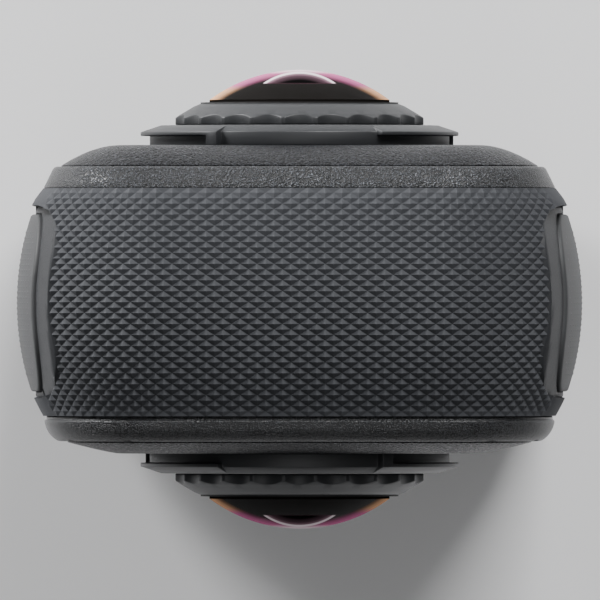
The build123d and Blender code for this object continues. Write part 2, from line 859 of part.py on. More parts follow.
def mount_screw(x, z):
    """Small screw from inside the face plate into the rear lens mount."""
    head = rod_y(x, z, mount_screw_head_radius, rear_seam_y - mount_screw_head, rear_seam_y)
    shank = rod_y(x, z, mount_screw_radius, rear_seam_y, face_y + mount_screw_bite / 2)
    return head + shank


def front_mount_screw(x, z):
    """Small screw from inside the face plate into the front lens mount."""
    head = rod_y(x, z, mount_screw_head_radius, front_seam_y, front_seam_y + mount_screw_head)
    shank = rod_y(x, z, mount_screw_radius, -face_y - mount_screw_bite / 2, front_seam_y)
    return head + shank


def mount_screw_holes(y_low, y_high):
    """Clearance holes for the mount screws."""
    return [rod_y(x, z, mount_screw_radius + screw_gap, y_low, y_high) for x, z in mount_screw_places()]


rear_mount = lens_mount()
for hole in mount_screw_holes(face_y - overrun, face_y + mount_screw_bite / 2):
    rear_mount -= hole
front_mount = to_front(lens_mount())
for hole in mount_screw_holes(-face_y - mount_screw_bite / 2, -face_y + overrun):
    front_mount -= hole
save(rear_mount, "rear_lens_mount")
save(front_mount, "front_lens_mount")
lens_pieces = {
    "lens_ring": lens_ring(),
    "dome_lens": lens_dome(),
    "lens_gasket": lens_gasket(),
    "lens_barrel": lens_barrel(),
    "inner_elements": Compound(children=inner_elements()),
}
for name, piece in lens_pieces.items():
    save(to_front(piece), f"front_{name}")
for name, piece in lens_pieces.items():
    save(piece, f"rear_{name}")
mount_screws = [mount_screw(x, z) for x, z in mount_screw_places()]
mount_screws += [front_mount_screw(x, z) for x, z in mount_screw_places()]
save(Compound(children=mount_screws), "lens_mount_screws")

# Screen and keys in the rear face plate
glass_margin = 0.4
glass_low_z = 22.0
glass_top_drop = 15.3
glass_corner_radius = 2.5
glass_thickness = 1.0
glass_sink = 0.05
glass_ledge = 1.0
panel_thickness = 1.4
panel_margin = 1.2
face_key_radius = 3.9
face_key_spread = 6.4
face_key_z = 14.4
face_key_sink = 0.1
face_key_travel = 0.5
face_key_collar = 0.7
face_key_collar_thickness = 0.6
face_key_rest_gap = 0.2
face_key_dish_radius = 16.0
face_key_dish = 0.25
light_radius = 0.7
light_drop = 20.8
light_sink = 0.05
grille_slots = 5
grille_pitch = 1.8
grille_slot_length = 9.0
grille_slot_width = 0.8
grille_z = 18.0

glass_half_width = crown_half_width - plate_flat_inset - glass_margin
glass_high_z = lens_axis_z - glass_top_drop
light_z = lens_axis_z - light_drop
glass_face_y = face_y - glass_sink
glass_back_y = glass_face_y - glass_thickness
mount_hole_radius = mount_neck_radius + seat_gap


def glass_sheet(inset):
    """Drawing of the screen glass, this far inside its edge."""
    width = 2 * (glass_half_width - inset)
    height = glass_high_z - glass_low_z - 2 * inset
    radius = max(glass_corner_radius - inset, least_corner_radius)
    return Pos(0, (glass_low_z + glass_high_z) / 2) * rounded(width, height, radius)


def plate_blank(side, seam_y, rim_inset, turn_inset):
    """Plate with a rolled edge and no holes: side is 1 at the rear and -1 at the front."""
    rim_y = seam_y + side * plate_rim_height
    flat_y = side * face_y
    roll = Bezier((rim_inset, rim_y), (turn_inset, flat_y), (plate_flat_inset, flat_y))
    back = Polyline(roll @ 1, (plate_flat_inset, seam_y), (rim_inset, seam_y), (rim_inset, rim_y))
    core = across(outline(plate_flat_inset), *sorted((seam_y, flat_y)))
    return band(roll.edges() + back.edges()) + core


def rear_plate():
    """Rear face plate with the lens hole, the screen's pocket and two key holes."""
    plate = plate_blank(1, rear_seam_y, rear_plate_rim_inset, rear_plate_turn_inset)
    plate -= rod_y(0, lens_axis_z, mount_hole_radius, rear_seam_y, face_y)
    plate -= across(glass_sheet(-seat_gap), glass_back_y, face_y)
    plate -= across(glass_sheet(glass_ledge), rear_seam_y, face_y)
    for side in (-1, 1):
        plate -= rod_y(side * face_key_spread, face_key_z, face_key_radius + slide_gap, rear_seam_y, face_y)
    for hole in mount_screw_holes(rear_seam_y, face_y):
        plate -= hole
    return plate


def front_plate():
    """Front face plate with the lens hole, the speaker's slots and the light's hole."""
    plate = plate_blank(-1, front_seam_y, front_plate_rim_inset, front_plate_turn_inset)
    plate -= rod_y(0, lens_axis_z, mount_hole_radius, -face_y, front_seam_y)
    plate -= rod_y(0, light_z, light_radius, -face_y, front_seam_y)
    for step in range(grille_slots):
        z = grille_z + grille_pitch * (step - (grille_slots - 1) / 2)
        plate -= across(Pos(0, z) * SlotOverall(grille_slot_length, grille_slot_width), -face_y, front_seam_y)
    for hole in mount_screw_holes(-face_y, front_seam_y):
        plate -= hole
    return plate


def face_key(x):
    """Round dished key with a collar behind the plate."""
    face = face_y - face_key_sink
    collar_high = rear_seam_y - face_key_rest_gap
    cap = rod_y(x, face_key_z, face_key_radius, collar_high, face)
    dish_y = face - face_key_dish + face_key_dish_radius
    cap -= Pos(x, dish_y, face_key_z) * Sphere(face_key_dish_radius)
    collar_radius = face_key_radius + face_key_collar
    return cap + rod_y(x, face_key_z, collar_radius, collar_high - face_key_collar_thickness, collar_high)


save(rear_plate(), "rear_face_plate")
save(front_plate(), "front_face_plate")
save(across(glass_sheet(0), glass_back_y, glass_face_y), "screen_glass")
panel_low_y = glass_back_y - panel_thickness
save(across(glass_sheet(panel_margin), panel_low_y, glass_back_y), "display_panel")
save(face_key(-face_key_spread), "shutter_button")
save(face_key(face_key_spread), "view_button")

# Wind screen pads and microphones


def side_pad():
    """Right pad: an oval shield, domed both ways, with a softened edge."""
    shield = pad_form(0, pad_half_depth + overrun, pad_half_height + overrun, pad_seat_x - overrun)
    shield &= pad_prism(0, pad_seat_x)
    return fillet(shield.faces().sort_by(Axis.X)[-1].edges(), pad_edge)


def microphones():
    """Two capsules behind each pad, against the frame's inner wall."""
    half = mic_size / 2
    capsules = []
    for side in (-1, 1):
        for spread in (-mic_port_spread, mic_port_spread):
            low_x, high_x = sorted((side * frame_inner_x, side * (frame_inner_x - mic_thickness)))
            z = lens_axis_z + spread
            capsule = block(low_x, high_x, pad_centre_y - half, pad_centre_y + half, z - half, z + half)
            capsules.append(capsule)
    return capsules


right_pad = side_pad()
save(right_pad, "right_mic_pad")
save(mirrored(right_pad), "left_mic_pad")
save(Compound(children=microphones()), "microphones")

# Doors, hinge pins, seals, latch and side keys
save(door_plate(*port_door_sizes), "port_door")
save(door_pin(port_door_low_z, port_door_half_depth), "port_door_pin")
save(door_seal(*port_mouth_sizes), "port_door_seal")
save(mirrored(door_plate(*bay_door_sizes) - latch_room()), "battery_door")
save(mirrored(door_pin(bay_door_low_z, bay_door_half_depth)), "battery_door_pin")
save(mirrored(door_seal(*bay_mouth_sizes)), "battery_door_seal")
save(mirrored(latch_piece()), "battery_latch")
save(side_key(power_key_z), "power_button")
save(side_key(quick_key_z), "quick_button")

switch_high_x = frame_inner_x - side_key_rest_gap - side_key_collar_thickness - side_key_travel - slide_gap


def side_switches():
    """Upright board with one push switch behind each side key."""
    half = switch_body / 2
    low_x = switch_high_x - switch_height
    parts = block(
        low_x - switch_plate_thickness,
        low_x,
        -switch_plate_depth / 2,
        switch_plate_depth / 2,
        quick_key_z - switch_plate_margin,
        power_key_z + switch_plate_margin,
    )
    for z in (power_key_z, quick_key_z):
        parts += block(low_x, switch_high_x, -half, half, z - half, z + half)
    return parts


save(side_switches(), "side_key_switches")

# Base pieces
foot = extrude(foot_sheet(0), amount=foot_thickness) - extrude(Circle(bush_radius), amount=foot_thickness)
save(foot, "base_foot")


def tripod_bush():
    """Threaded metal bush, drawn at the thread's inner diameter."""
    body = Pos(0, 0, bush_mouth_z) * extrude(Circle(bush_radius), amount=bush_length)
    flange = Pos(0, 0, frame_floor_z) * extrude(Circle(bush_flange_radius), amount=bush_flange_thickness)
    bore = Pos(0, 0, bush_mouth_z) * extrude(Circle(tripod_thread_radius), amount=tripod_thread_depth)
    return body + flange - bore


save(tripod_bush(), "tripod_bush")

# Battery, its tray and its contacts
battery_gap = 0.2
battery_inner_gap = 7.6
battery_door_gap = 0.3
battery_mouth_gap = 0.35
battery_rise = 3.2
battery_top_gap = 9.5
battery_edge = 1.0
tray_wall = 0.8
contact_depth = 6.0
contact_height = 6.0
contact_top_gap = 4.0
contact_reach = 1.4

battery_outer_x = battery_door_gap - frame_inner_x
battery_inner_x = frame_inner_x - battery_inner_gap
battery_half_depth = bay_door_half_depth - bay_mouth_margin_y - battery_mouth_gap
battery_low_z = bay_door_low_z + battery_rise
battery_high_z = bay_door_high_z - battery_top_gap
contact_high_z = battery_high_z - contact_top_gap
contact_low_z = contact_high_z - contact_height

battery = block(
    battery_outer_x, battery_inner_x, -battery_half_depth, battery_half_depth, battery_low_z, battery_high_z
)
battery = fillet(battery.edges().filter_by(Axis.X), battery_edge)
save(battery, "battery")

room_half = battery_half_depth + battery_gap
tray_inner_x = battery_inner_x + battery_gap
tray_low_z = battery_low_z - battery_gap - tray_wall
tray_high_z = battery_high_z + battery_gap + tray_wall
tray_half = room_half + tray_wall
tray_outer_x = -frame_inner_x + seat_gap
contact_half = contact_depth / 2


def battery_tray():
    """Box around the battery, open at the door, with a window for the contacts."""
    shell = block(tray_outer_x, tray_inner_x + tray_wall, -tray_half, tray_half, tray_low_z, tray_high_z)
    room_z = (battery_low_z - battery_gap, battery_high_z + battery_gap)
    shell -= block(tray_outer_x, tray_inner_x, -room_half, room_half, *room_z)
    window_x = (battery_inner_x, tray_inner_x + contact_reach + overrun)
    return shell - block(*window_x, -contact_half, contact_half, contact_low_z, contact_high_z)


save(battery_tray(), "battery_tray")
contact_high_x = battery_inner_x + contact_reach
save(
    block(battery_inner_x, contact_high_x, -contact_half, contact_half, contact_low_z, contact_high_z),
    "battery_contacts",
)

# Memory card in its socket, above the battery tray, opening towards the battery door
card_length = 15.0
card_width = 11.0
card_thickness = 0.8
card_gap = 0.1
card_travel = 0.6
card_door_gap = 0.8
card_rise = 1.8
socket_wall = 0.5
socket_short = 1.6

card_outer_x = card_door_gap - frame_inner_x
card_inner_x = card_outer_x + card_length
card_z = tray_high_z + card_rise


def card_space(x_low, x_high, gap):
    """Flat block of the card's size between two widths, this much larger in the other directions."""
    half_depth = card_width / 2 + gap
    half_height = card_thickness / 2 + gap
    return block(x_low, x_high, -half_depth, half_depth, card_z - half_height, card_z + half_height)


save(card_space(card_outer_x, card_inner_x, 0), "memory_card")


def card_socket():
    """Flat metal sleeve around the card, with room behind it for the push to release."""
    low_x = card_outer_x + socket_short
    high_x = card_inner_x + card_travel + card_gap
    sleeve = card_space(low_x, high_x + socket_wall, card_gap + socket_wall)
    return sleeve - card_space(low_x, high_x, card_gap)


save(card_socket(), "card_socket")

# Main board, its shields and switches, heat spreader, speaker, aerial and charging socket
board_margin = 0.6
board_low_z = 9.0
board_top_drop = 13.8
board_thickness = 0.9
shield_half_width = 10.0
shield_height = 1.1
shield_rise = 25.0
shield_top_gap = 17.0
shield_gap_z = 2.0
shield_split_share = 0.6
spreader_thickness = 1.0
spreader_margin = 0.8
speaker_half_width = 6.5
speaker_half_height = 5.5
speaker_depth = 2.8
speaker_gap = 0.3
aerial_half_width = 5.5
aerial_half_height = 3.0
aerial_thickness = 0.3
aerial_light_gap = 6.0
socket_length = 6.0
socket_sink = 0.4
socket_half_depth = 1.63
socket_half_height = 4.5
socket_shell = 0.3
socket_tongue_half = 0.35
socket_tongue_share = 0.8
light_length = 3.0
light_collar_radius = 1.4
light_collar_length = 0.8

board_half_width = crown_half_width - bezel_inner_inset - board_margin
board_high_z = lens_axis_z - board_top_drop
spreader_half_width = board_half_width - spreader_margin
shield_low_z = board_low_z + shield_rise
shield_high_z = board_high_z - shield_top_gap
aerial_z = light_z - aerial_light_gap
socket_mouth_x = frame_inner_x - socket_sink
board_low_y = tray_half
board_high_y = board_low_y + board_thickness
board_x = (-board_half_width, board_half_width)
save(block(*board_x, board_low_y, board_high_y, board_low_z, board_high_z), "main_board")
shield_split_z = shield_low_z + (shield_high_z - shield_low_z) * shield_split_share
shield_x = (-shield_half_width, shield_half_width)
shield_y = (board_high_y, board_high_y + shield_height)
lower_shield = block(*shield_x, *shield_y, shield_low_z, shield_split_z)
upper_shield = block(*shield_x, *shield_y, shield_split_z + shield_gap_z, shield_high_z)
save(Compound(children=[lower_shield, upper_shield]), "chip_shields")

face_switch_high_y = rear_seam_y - face_key_rest_gap - face_key_collar_thickness - face_key_travel - slide_gap


def face_switches():
    """Two push switches on the main board behind the round keys."""
    half = switch_body / 2
    places = (-face_key_spread, face_key_spread)
    low_z = face_key_z - half
    high_z = face_key_z + half
    return [block(x - half, x + half, board_high_y, face_switch_high_y, low_z, high_z) for x in places]


save(Compound(children=face_switches()), "face_key_switches")
spreader_x = (-spreader_half_width, spreader_half_width)
spreader_y = (-tray_half - spreader_thickness, -tray_half)
save(block(*spreader_x, *spreader_y, board_low_z, board_high_z), "heat_spreader")
speaker = block(
    -speaker_half_width,
    speaker_half_width,
    front_seam_y + speaker_gap,
    front_seam_y + speaker_gap + speaker_depth,
    grille_z - speaker_half_height,
    grille_z + speaker_half_height,
)
save(fillet(speaker.edges().filter_by(Axis.Y), battery_edge), "speaker")
save(
    block(
        -aerial_half_width,
        aerial_half_width,
        front_seam_y,
        front_seam_y + aerial_thickness,
        aerial_z - aerial_half_height,
        aerial_z + aerial_half_height,
    ),
    "radio_aerial",
)
status_light = rod_y(0, light_z, light_radius, -face_y + light_sink, front_seam_y + light_length)
status_light += rod_y(0, light_z, light_collar_radius, front_seam_y, front_seam_y + light_collar_length)
save(status_light, "status_light")


def charging_socket():
    """Oval metal socket with a thin tongue, its mouth behind the port door."""
    port_z = (port_door_low_z + port_door_high_z) / 2
    low_x = socket_mouth_x - socket_length
    height = 2 * socket_half_height
    depth = 2 * socket_half_depth
    shell = sideways(slot_sheet(height, depth, port_z), low_x, socket_mouth_x)
    room = slot_sheet(height - 2 * socket_shell, depth - 2 * socket_shell, port_z)
    shell -= sideways(room, low_x + socket_shell, socket_mouth_x)
    tongue_high = low_x + socket_length * socket_tongue_share
    half_height = socket_half_height * socket_tongue_share - socket_half_depth
    low_z = port_z - half_height
    high_z = port_z + half_height
    return shell + block(low_x, tongue_high, -socket_tongue_half, socket_tongue_half, low_z, high_z)


save(charging_socket(), "charging_socket")

# Lens block in the head: two sockets for the barrels, a room for the sensors, and a bridge to the frame
block_radius = 10.2
room_half_width = 7.0
room_half_height = 6.0
room_half_depth = 2.9
sensor_board_half_width = 6.8
sensor_board_half_height = 5.8
sensor_board_low_y = 0.1
sensor_board_thickness = 0.8
sensor_half_width = 5.6
sensor_half_height = 4.6
sensor_thickness = 1.4
bridge_low_drop = 13.4
bridge_high_drop = 8.3
bridge_half_depth = 2.6
bridge_gap = 0.1
ribbon_first_x = -1.6
ribbon_width = 3.6
ribbon_thickness = 0.2
ribbon_gap = 0.6
ribbon_drop = 22.8
ribbon_step_z = 2.0

bridge_low_z = lens_axis_z - bridge_low_drop
bridge_high_z = lens_axis_z - bridge_high_drop
ribbon_low_z = lens_axis_z - ribbon_drop
ribbon_slot_low_x = ribbon_first_x - ribbon_gap / 2
ribbon_slot_high_x = ribbon_slot_low_x + 2 * (ribbon_width + ribbon_gap)


def lens_block():
    """One cast block with a barrel socket each way and a bridge between the middle bosses."""
    body = rod_y(0, lens_axis_z, block_radius, -mount_neck_y, mount_neck_y)
    bridge_half = crown_half_width - boss_inset - boss_radius - bridge_gap
    bridge_y = (-bridge_half_depth, bridge_half_depth)
    body += block(-bridge_half, bridge_half, *bridge_y, bridge_low_z, bridge_high_z)
    low_z = lens_axis_z - room_half_height
    high_z = lens_axis_z + room_half_height
    body -= block(-room_half_width, room_half_width, -room_half_depth, room_half_depth, low_z, high_z)
    for side in (-1, 1):
        thin = sorted((0, side * barrel_step_y))
        wide = sorted((side * barrel_step_y, side * mount_neck_y))
        body -= rod_y(0, lens_axis_z, barrel_thin_radius + barrel_fit, *thin)
        body -= rod_y(0, lens_axis_z, barrel_radius + barrel_fit, *wide)
    slot_half = sensor_board_low_y + sensor_board_thickness
    slot = (ribbon_slot_low_x, ribbon_slot_high_x, -slot_half, slot_half, bridge_low_z, lens_axis_z)
    body -= block(*slot)
    return body


save(lens_block(), "lens_block")


def sensor_ribbon(side):
    """Flat cable from one sensor board down to the main board."""
    x_low = ribbon_first_x + (1 + side) / 2 * (ribbon_width + ribbon_gap)
    x_high = x_low + ribbon_width
    inner_y = side * (sensor_board_low_y + sensor_board_thickness)
    outer_y = inner_y - side * ribbon_thickness
    turn_z = ribbon_low_z + (1 - side) / 2 * ribbon_step_z
    top_z = lens_axis_z - sensor_board_half_height
    leg = block(x_low, x_high, *sorted((inner_y, outer_y)), turn_z, top_z)
    run_low = min(inner_y, outer_y)
    return leg + block(x_low, x_high, run_low, board_low_y, turn_z, turn_z + ribbon_thickness)


def sensor_pieces(side):
    """Sensor board and sensor of one lens: side is 1 at the rear and -1 at the front."""
    board_y = sorted((side * sensor_board_low_y, side * (sensor_board_low_y + sensor_board_thickness)))
    chip_low = sensor_board_low_y + sensor_board_thickness
    chip_y = sorted((side * chip_low, side * (chip_low + sensor_thickness)))
    board_z = (lens_axis_z - sensor_board_half_height, lens_axis_z + sensor_board_half_height)
    chip_z = (lens_axis_z - sensor_half_height, lens_axis_z + sensor_half_height)
    board = block(-sensor_board_half_width, sensor_board_half_width, *board_y, *board_z)
    chip = block(-sensor_half_width, sensor_half_width, *chip_y, *chip_z)
    return board, chip


for side, name in ((1, "rear"), (-1, "front")):
    board, chip = sensor_pieces(side)
    save(board, f"{name}_sensor_board")
    save(chip, f"{name}_image_sensor")
    save(sensor_ribbon(side), f"{name}_sensor_ribbon")
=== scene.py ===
import json
import math

import bmesh
import bpy
from bpy.props import FloatProperty, FloatVectorProperty, IntProperty, PointerProperty
from mathutils import Matrix, Vector

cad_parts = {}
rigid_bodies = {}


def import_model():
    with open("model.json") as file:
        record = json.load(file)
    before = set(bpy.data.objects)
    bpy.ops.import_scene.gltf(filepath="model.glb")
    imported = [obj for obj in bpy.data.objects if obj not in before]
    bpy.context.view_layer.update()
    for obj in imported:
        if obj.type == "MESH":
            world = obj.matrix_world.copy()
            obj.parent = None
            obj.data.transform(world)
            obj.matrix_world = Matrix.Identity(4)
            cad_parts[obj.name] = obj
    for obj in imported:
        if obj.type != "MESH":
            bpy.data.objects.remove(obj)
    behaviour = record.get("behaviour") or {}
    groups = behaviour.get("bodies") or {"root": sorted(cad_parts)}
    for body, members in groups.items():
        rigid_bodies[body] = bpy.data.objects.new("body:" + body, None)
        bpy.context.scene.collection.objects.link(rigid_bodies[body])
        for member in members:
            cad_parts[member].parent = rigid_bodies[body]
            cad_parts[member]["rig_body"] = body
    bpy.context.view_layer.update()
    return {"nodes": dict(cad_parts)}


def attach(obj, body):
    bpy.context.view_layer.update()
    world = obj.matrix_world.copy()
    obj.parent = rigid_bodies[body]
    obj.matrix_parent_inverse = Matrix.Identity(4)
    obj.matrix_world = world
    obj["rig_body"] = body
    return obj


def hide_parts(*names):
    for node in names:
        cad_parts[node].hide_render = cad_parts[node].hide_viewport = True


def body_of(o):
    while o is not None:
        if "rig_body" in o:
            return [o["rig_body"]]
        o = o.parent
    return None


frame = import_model()

bl_info = {
    "name": "360 Degree Camera Looks",
    "version": (1, 0, 0),
    "blender": (4, 5, 0),
    "location": "View3D > Sidebar > Camera Looks",
    "description": "Dresses the camera's solids and adds its moulded grip, pads, lenses, light and camera",
    "category": "Object",
}

MM = 0.001
# Within these distances, in metres, corners are one corner, or lie on the plane that cuts them
SAME_PLACE = 1e-6
ON_PLANE = 1e-7
# How far past the ends of a cut the faces beside it are cut too
CUT_MARGIN = 1.5 * MM
# How far a cut runs past the end of what it cuts
OVERRUN = 1 * MM
# Edges that turn by more than the first are hard, and those that turn by less than the second are flat
HARD = math.radians(30)
FLAT = math.radians(0.5)
# Edges of the diamonds on the grip and on the pads stay sharp from these, since they are shallower
GRIP_SHARP = math.radians(14)
PAD_SHARP = math.radians(8)
# Share of a dome's radius from which a face counts as its edge
EDGE_SHARE = 0.995
# Value of the grip's peak attribute where it has no diamonds
PLAIN_PEAK = 0.7


# Sizes and colours


def length(name, description, millimetres):
    return FloatProperty(
        name=name, description=description, default=millimetres * MM, unit="LENGTH", subtype="DISTANCE"
    )


def count(name, description, number):
    return IntProperty(name=name, description=description, default=number, min=4)


def power(name, description, watts):
    return FloatProperty(name=name, description=description, default=watts, min=0, unit="POWER")


def colour(name, description, default):
    return FloatVectorProperty(
        name=name, description=description, default=default, size=3, min=0, max=1, subtype="COLOR"
    )


class CAM_PG_grip(bpy.types.PropertyGroup):
    """Sizes of the crowned body and of the diamonds moulded over its head"""

    half_width: length("Half width", "Half of the band's greatest width", 23.3)
    height: length("Height", "Top of the crowned band", 114)
    corner: length("Corner radius", "Radius of the band's upper corners", 12)
    crown: length("Crown radius", "Radius of the band's crown from front to rear", 19)
    front: length("Front edge", "Depth of the grip's front end", -9.45)
    rear: length("Rear edge", "Depth of the grip's rear end", 9)
    ease: length("Rear ease", "How far the band draws in at its rear edge", 0.26)
    ease_depth: length("Rear ease depth", "Depth over which the rear edge draws in", 1)
    low: length("Lower end", "Height of the grip's lower ends", 80)
    thickness: length("Thickness", "Depth of the grip's skin", 0.79)
    along: length("Diamond width", "Width of a diamond round the band", 1.3724)
    across: length("Diamond depth", "Size of a diamond from front to rear", 0.883)
    valley: length("Valley", "Depth of the valleys between the diamonds", 0.27)
    tip: length("Tip", "Size of the small flat on each diamond's peak", 0.05)
    rear_fade: length("Rear fade", "Width over which the relief fades at the rear", 0.5)
    front_fade: length("Front fade", "Width over which the relief fades at the front", 0.6)
    side_start: length("Shoulder start", "Run from the middle at which the relief starts to fade", 23.6)
    side_end: length("Shoulder end", "Run from the middle at which it has faded", 25.4)


class CAM_PG_channel(bpy.types.PropertyGroup):
    """Sizes of the scooped channel round each side pad, seen from the side"""

    front: length("Front edge", "Depth of the channel's front wall", -8)
    rear: length("Rear edge", "Depth of the channel's rear wall", 7.6)
    top: length("Upper edge", "Height of the channel's upper wall", 109.9)
    corner: length("Corner radius", "Radius of the channel's corners", 4.6)
    steps: count("Corner steps", "Straight cuts round each corner", 7)


class CAM_PG_pad(bpy.types.PropertyGroup):
    """Sizes of the side pads and of the fine diamonds raised on them"""

    crown_x: length("Crown", "Distance of the pad's crown from the middle plane", 23)
    crown: length("Crown radius", "Radius of the pad's face from front to rear", 22.8)
    rise: length("Rise radius", "Upright radius of the pad's face", 64)
    middle_y: length("Middle depth", "Depth of the pad's middle", -0.3)
    middle_z: length("Middle height", "Height of the pad's middle", 92.8)
    half_depth: length("Half depth", "Half of the field from front to rear", 6.5)
    half_height: length("Half height", "Half of the field's height", 12.2)
    corner: length("Corner radius", "Radius of the field's corners", 4.3)
    along: length("Diamond length", "Size of a diamond from front to rear", 0.883)
    across: length("Diamond height", "Upright size of a diamond", 1.375)
    valley: length("Valley", "Depth of the valleys under the peaks", 0.13)
    raised: length("Raised", "How far the peaks stand over the field's rim", 0.06)
    sunk: length("Sunk rim", "How far the field's rim lies under the pad's face", 0.02)
    thickness: length("Thickness", "How far the skin's back lies under the pad's face", 0.4)
    fade: length("Fade", "Width over which the diamonds fade to the rim", 0.8)
    steps: count("Corner steps", "Straight cuts round each corner", 7)


class CAM_PG_lens(bpy.types.PropertyGroup):
    """Sizes of the rear lens, in radius and depth, which the front lens repeats"""

    axis: length("Axis height", "Height of both lens axes", 92.8)
    tip: length("Dome tip", "Depth of the dome's tip", 18.675)
    radius: length("Dome radius", "Radius of the dome's outer face", 12.2)
    rim: length("Dome rim", "Radius of the dome's edge", 7.33)
    seat: length("Dome seat", "Depth of the edge of the dome's back", 15.2)
    thickness: length("Dome thickness", "Thickness of the glass at the tip", 1)
    hollow_rim: length("Hollow rim", "Radius of the hollow behind the dome", 3)
    hollow_seat: length("Hollow depth", "Depth of the hollow's edge", 16.6)
    second_tip: length("Second tip", "Depth of the second element's tip", 15.6)
    second_curve: length("Second curve", "Radius of the second element's outer face", 12)
    second_rim: length("Second rim", "Radius of the second element's edge", 5)
    mouth: length("Barrel mouth", "Depth at which the second element rests", 14)
    bore: length("Bore", "Radius of the barrel's bore", 4.3)
    second_back: length("Second back", "Depth of the middle of its hollow back", 14.8)
    third_low: length("Third element's back", "Depth of its edge, inwards", 10)
    third_high: length("Third element's front", "Depth of its edge, outwards", 12.6)
    fourth_low: length("Fourth element's back", "Depth of its edge, inwards", 4.4)
    fourth_high: length("Fourth element's front", "Depth of its edge, outwards", 7.4)
    bulge: length("Bulge", "Rise of the inner elements' faces", 0.7)
    turns: count("Steps round", "Straight steps round each lens face", 96)
    steps: count("Arc steps", "Straight steps along each arc", 20)


class CAM_PG_edge(bpy.types.PropertyGroup):
    """Sizes of the rounded edges"""

    frame: length("Frame", "Middle frame", 0.06)
    bezel: length("Bezels", "Both bezels", 0.11)
    plate: length("Face plates", "Both face plates", 0.1)
    pad: length("Pads", "Side pads", 0.05)
    trim: length("Lens trim", "Lens mounts and rings", 0.06)
    key: length("Keys", "Key caps", 0.1)
    screen: length("Screen", "Screen glass", 0.15)
    door: length("Doors", "Doors and latch", 0.1)
    foot: length("Foot", "Base foot", 0.2)


class CAM_PG_finish(bpy.types.PropertyGroup):
    """Sizes and places of the patterns in the finishes"""

    paint_flat: length("Paint flat", "Half width of the bezels' coarse part", 16.8)
    paint_fade: length("Paint fade", "Width over which it then fades", 2.6)
    plate_flat: length("Plate flat", "Half width of the face plates' coarse part", 15.5)
    plate_fade: length("Plate fade", "Width over which it then fades", 3)
    # Depths over which the coating's painted coloured reflection runs on each dome
    coat_start: length("Coating start", "Depth at which the domes' colours start", 15.9)
    coat_end: length("Coating end", "Depth of the domes' last colour", 18.7)
    # Places of the painted black pupil and of the painted pale arc round it, near each dome's tip
    pupil_middle: length("Pupil middle", "Depth of the middle of each pupil's arc", 13.5)
    pupil_radius: length("Pupil radius", "Radius of that arc", 5)
    pupil_start: length("Pupil start", "Depth at which the pupil starts", 17.5)
    pupil_fade: length("Pupil fade", "Width over which the pupil starts", 0.08)
    display_pitch: length("Display pitch", "Pitch of the display's picture elements", 0.12)
    sensor_pitch: length("Sensor pitch", "Pitch of the sensors' raster", 0.1)
    track_pitch: length("Track pitch", "Pitch of the film's copper tracks", 0.3)
    wrap_end: length("Wrap end", "Height from which the wrap is paler", 57)
    wrap_fade: length("Wrap fade", "Width over which the wrap turns paler", 0.4)


class CAM_PG_colours(bpy.types.PropertyGroup):
    """Colours of the camera's finishes"""

    graphite: colour("Graphite", "Moulded body plastic", (0.036, 0.038, 0.043))
    bezel: colour("Bezel", "Sparkling bezel paint", (0.009, 0.0096, 0.0108))
    face: colour("Face plate", "Plastic of both face plates", (0.009, 0.0095, 0.011))
    pad: colour("Pad", "Plastic of the side pads", (0.033, 0.0345, 0.0365))
    trim: colour("Lens trim", "Coated lens rings and mounts", (0.021, 0.0222, 0.0243))
    door: colour("Door", "Doors in the sides", (0.03, 0.032, 0.036))
    key: colour("Key", "Key caps", (0.03, 0.031, 0.034))
    # Colours of the coating's painted coloured reflection on the domes, from the rim to the tip
    coat_base: colour("Coating at the rim", "Lens coating near the gasket", (0.62, 0.35, 0.2))
    coat_middle: colour("Coating half way", "Lens coating half way up the dome", (0.47, 0.13, 0.27))
    coat_tip: colour("Coating at the tip", "Lens coating at the tip of the dome", (0.7, 0.6, 0.64))


class CAM_PG_stage(bpy.types.PropertyGroup):
    """Floor, light and camera"""

    floor: colour("Floor", "Plain pale floor", (0.8, 0.8, 0.81))
    half_floor: length("Half floor", "Half of the floor's width", 3000)
    world: FloatProperty(name="World", description="Strength of the even light", default=0.105, min=0)
    key: power("Key light", "Large soft light at the rear right", 5.9)
    side: power("Side light", "Light at the rear left", 8)
    front: power("Front light", "Light in front", 0.45)
    top: power("Top light", "Light over the camera", 0.7)
    lens: FloatProperty(name="Lens", description="Focal length, in millimetres", default=1600, min=1)
    view: length("Width of view", "Width that the camera sees at the lenses' height", 48.85)
    near: length("Near end", "Distance from which the camera sees", 100)
    far: length("Far end", "Distance up to which the camera sees", 50000)
    aim: FloatVectorProperty(
        name="Aim", description="Point that the camera looks down on", unit="LENGTH",
        default=(0.04 * MM, -0.06 * MM, 93 * MM),
    )


# Place, width and height of each soft light, in metres
LIGHTS = {
    "key": ((0.19, 0.45, 0.47), 0.3, 0.3),
    "side": ((-0.48, 0.4, 0.17), 0.16, 0.3),
    "front": ((0, -0.35, 0.55), 0.3, 0.15),
    "top": ((0, -0.06, 0.9), 0.4, 0.4),
}


# Shader maths


